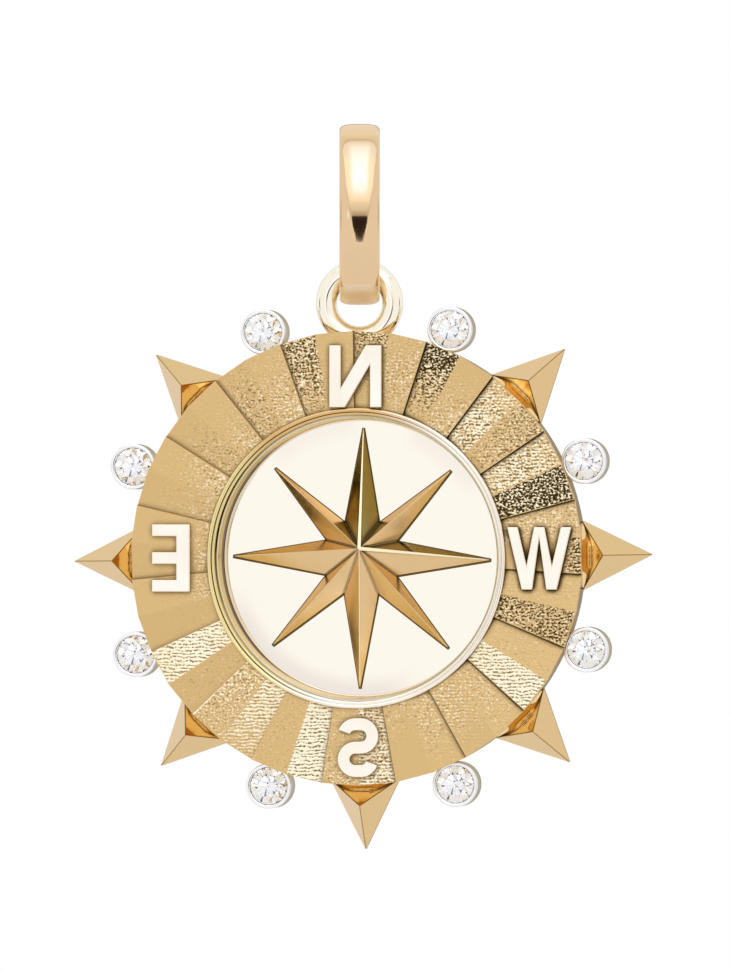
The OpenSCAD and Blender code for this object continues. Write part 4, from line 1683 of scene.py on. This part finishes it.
@dataclass
class Studio:
    """White tent with its panels, a pale floor and the camera."""

    tent: Colour = (0.98, 0.98, 1.04, 1.0)
    back: Colour = (0.42, 0.38, 0.29, 1.0)      # straight behind the object
    back_from: Pair = (-0.97, -0.82)            # how far behind, as the cosine of the angle
    seen: Colour = (1.0, 1.0, 1.0, 1.0)         # what the camera sees round the object
    side_most: float = 100.0    # degrees that the ramps of the panels' edges can hold
    brightest: float = 4.0      # light that they can hold
    floor_r: float = 106.0
    floor_t: float = 1.0
    floor_z: float = -60.0
    camera_turn: float = 7.5
    camera_away: float = 500.0
    camera_lens: float = 420.5
    camera_sensor: float = 36.0
    camera_clip: Pair = (0.01, 10.0)            # metres
    aim: Point = (0.2376, 0.2376, -15.4)        # along the face, into the picture and up

    def build_tent(self) -> None:
        """Makes the world: a tent seen in reflections, plain white to the camera."""
        world = bpy.data.worlds.new("tent")
        bpy.context.scene.world = world
        world.use_nodes = True
        tree = world.node_tree
        tree.nodes.clear()
        way = add_node(tree, "TexCoord", out="Generated")
        turn = math.radians(self.camera_turn)
        right, ahead, up = [
            add_node(tree, "VectorMath", {0: way, 1: axis}, "Value", operation="DOT_PRODUCT")
            for axis in ((math.cos(turn), math.sin(turn), 0.0),
                         (math.sin(turn), -math.cos(turn), 0.0), (0.0, 0.0, 1.0))]
        angles = [add_node(tree, "Math", inputs, operation=operation)
                  for operation, inputs in (("ARCSINE", {0: right}),
                                            ("ARCTAN2", {0: up, 1: ahead}))]
        side, pitch = [add_node(tree, "Math", {0: angle}, operation="DEGREES")
                       for angle in angles]
        clear = add_node(tree, "MapRange", {
            "Value": ahead, "From Min": self.back_from[0], "From Max": self.back_from[1]},
            interpolation_type="SMOOTHSTEP")
        light = add_node(tree, "Mix", {0: clear, 6: self.back, 7: self.tent}, 2,
                         data_type="RGBA")
        for panel in PANELS:
            light = self.add_panel(tree, panel, side, pitch, light)
        seen = add_node(tree, "LightPath", out="Is Camera Ray")
        colour = add_node(tree, "Mix", {0: seen, 6: light, 7: self.seen}, 2, data_type="RGBA")
        sky = add_node(tree, "Background", {"Color": colour})
        add_node(tree, "OutputWorld", {"Surface": sky})

    def add_panel(self, tree: bpy.types.NodeTree, panel: Panel, side: Socket, pitch: Socket,
                  behind: Socket) -> Socket:
        """Lays a panel over the light that lies behind it.

        Args:
            tree: the world's node tree.
            panel: the panel.
            side: the side angle.
            pitch: the pitch angle.
            behind: the light behind it.

        Returns:
            The light with the panel.
        """
        stations, most = panel.stations, self.side_most
        share, spot = [add_node(tree, "MapRange", {"Value": value, "From Min": -end,
                                                   "From Max": end})
                       for value, end in ((pitch, 180.0), (side, most))]
        ramps = []
        for colours in ([((s.left / most + 1) / 2, (s.right / most + 1) / 2, 0.0)
                         for s in stations],
                        [[c / self.brightest for c in s.light] for s in stations]):
            ramps.append(add_node(tree, "ValToRGB", {"Fac": share}))
            elements = ramps[-1].node.color_ramp.elements
            while len(elements) < len(stations):
                elements.new(1.0)
            for i, station in enumerate(stations):
                elements[i].position = (station.pitch + 180) / 360
                elements[i].color = (*colours[i], 1.0)
        edges, light = ramps
        bounds = add_node(tree, "SeparateColor", {0: edges}).node.outputs
        gaps = [add_node(tree, "Math", {0: near, 1: far}, operation="SUBTRACT")
                for near, far in ((spot, bounds[0]), (bounds[1], spot))]
        fade, first, last = panel.softness / 2, stations[0].pitch, stations[-1].pitch
        whole: Any = 1.0
        for value, start, end in ((pitch, first - fade, first + fade),
                                  (pitch, last + fade, last - fade),
                                  *[(gap, -fade / (2 * most), fade / (2 * most))
                                    for gap in gaps]):
            part = add_node(tree, "MapRange", {"Value": value, "From Min": start,
                                               "From Max": end},
                            interpolation_type="SMOOTHSTEP")
            whole = add_node(tree, "Math", {0: whole, 1: part}, operation="MULTIPLY")
        bright = add_node(tree, "VectorMath", {0: light, "Scale": self.brightest},
                          operation="SCALE")
        return add_node(tree, "Mix", {0: whole, 6: behind, 7: bright}, 2, data_type="RGBA")

    def build_floor(self) -> None:
        """Makes the pale floor below the hanging pendant."""
        draft = Draft()
        draft.lathe([(0.0, 0.0), (self.floor_r, 0.0), (self.floor_r, -self.floor_t),
                     (0.0, -self.floor_t)], segments=96, loop=False)
        make_piece("floor", draft, lambda p: (p[0], p[1], p[2] + self.floor_z),
                   PaleCard(), Seat.STAGE)

    def build_camera(self) -> None:
        """Sets the camera at the photograph's angle."""
        turn = math.radians(self.camera_turn)
        aside, into, height = self.aim
        aim = Vector((aside * math.cos(turn), into * math.sin(turn), height)) * MM
        back = Vector((math.sin(turn), -math.cos(turn), 0.0))
        data = bpy.data.cameras.new("camera")
        data.lens = self.camera_lens
        data.sensor_width = self.camera_sensor
        data.clip_start, data.clip_end = self.camera_clip
        camera = bpy.data.objects.new("camera", data)
        camera.location = aim + back * self.camera_away * MM
        camera.rotation_euler = (-back).to_track_quat("-Z", "Y").to_euler()
        bpy.context.scene.collection.objects.link(camera)
        bpy.context.scene.camera = camera

    def build(self) -> None:
        """Builds the studio."""
        self.build_camera()
        self.build_tent()
        self.build_floor()
        bpy.context.scene.view_settings.view_transform = "Standard"
        log.info("studio: camera at %.1f degrees, %d panels", self.camera_turn, len(PANELS))


def main() -> None:
    """Builds the pendant and its studio."""
    logging.basicConfig(level=logging.INFO, format="%(name)s: %(message)s")
    layout = Layout()
    Studio().build()
    Bail(layout).build()
    Medallion(layout).build()
    Stones().dress()


if __name__ == "__main__":
    main()
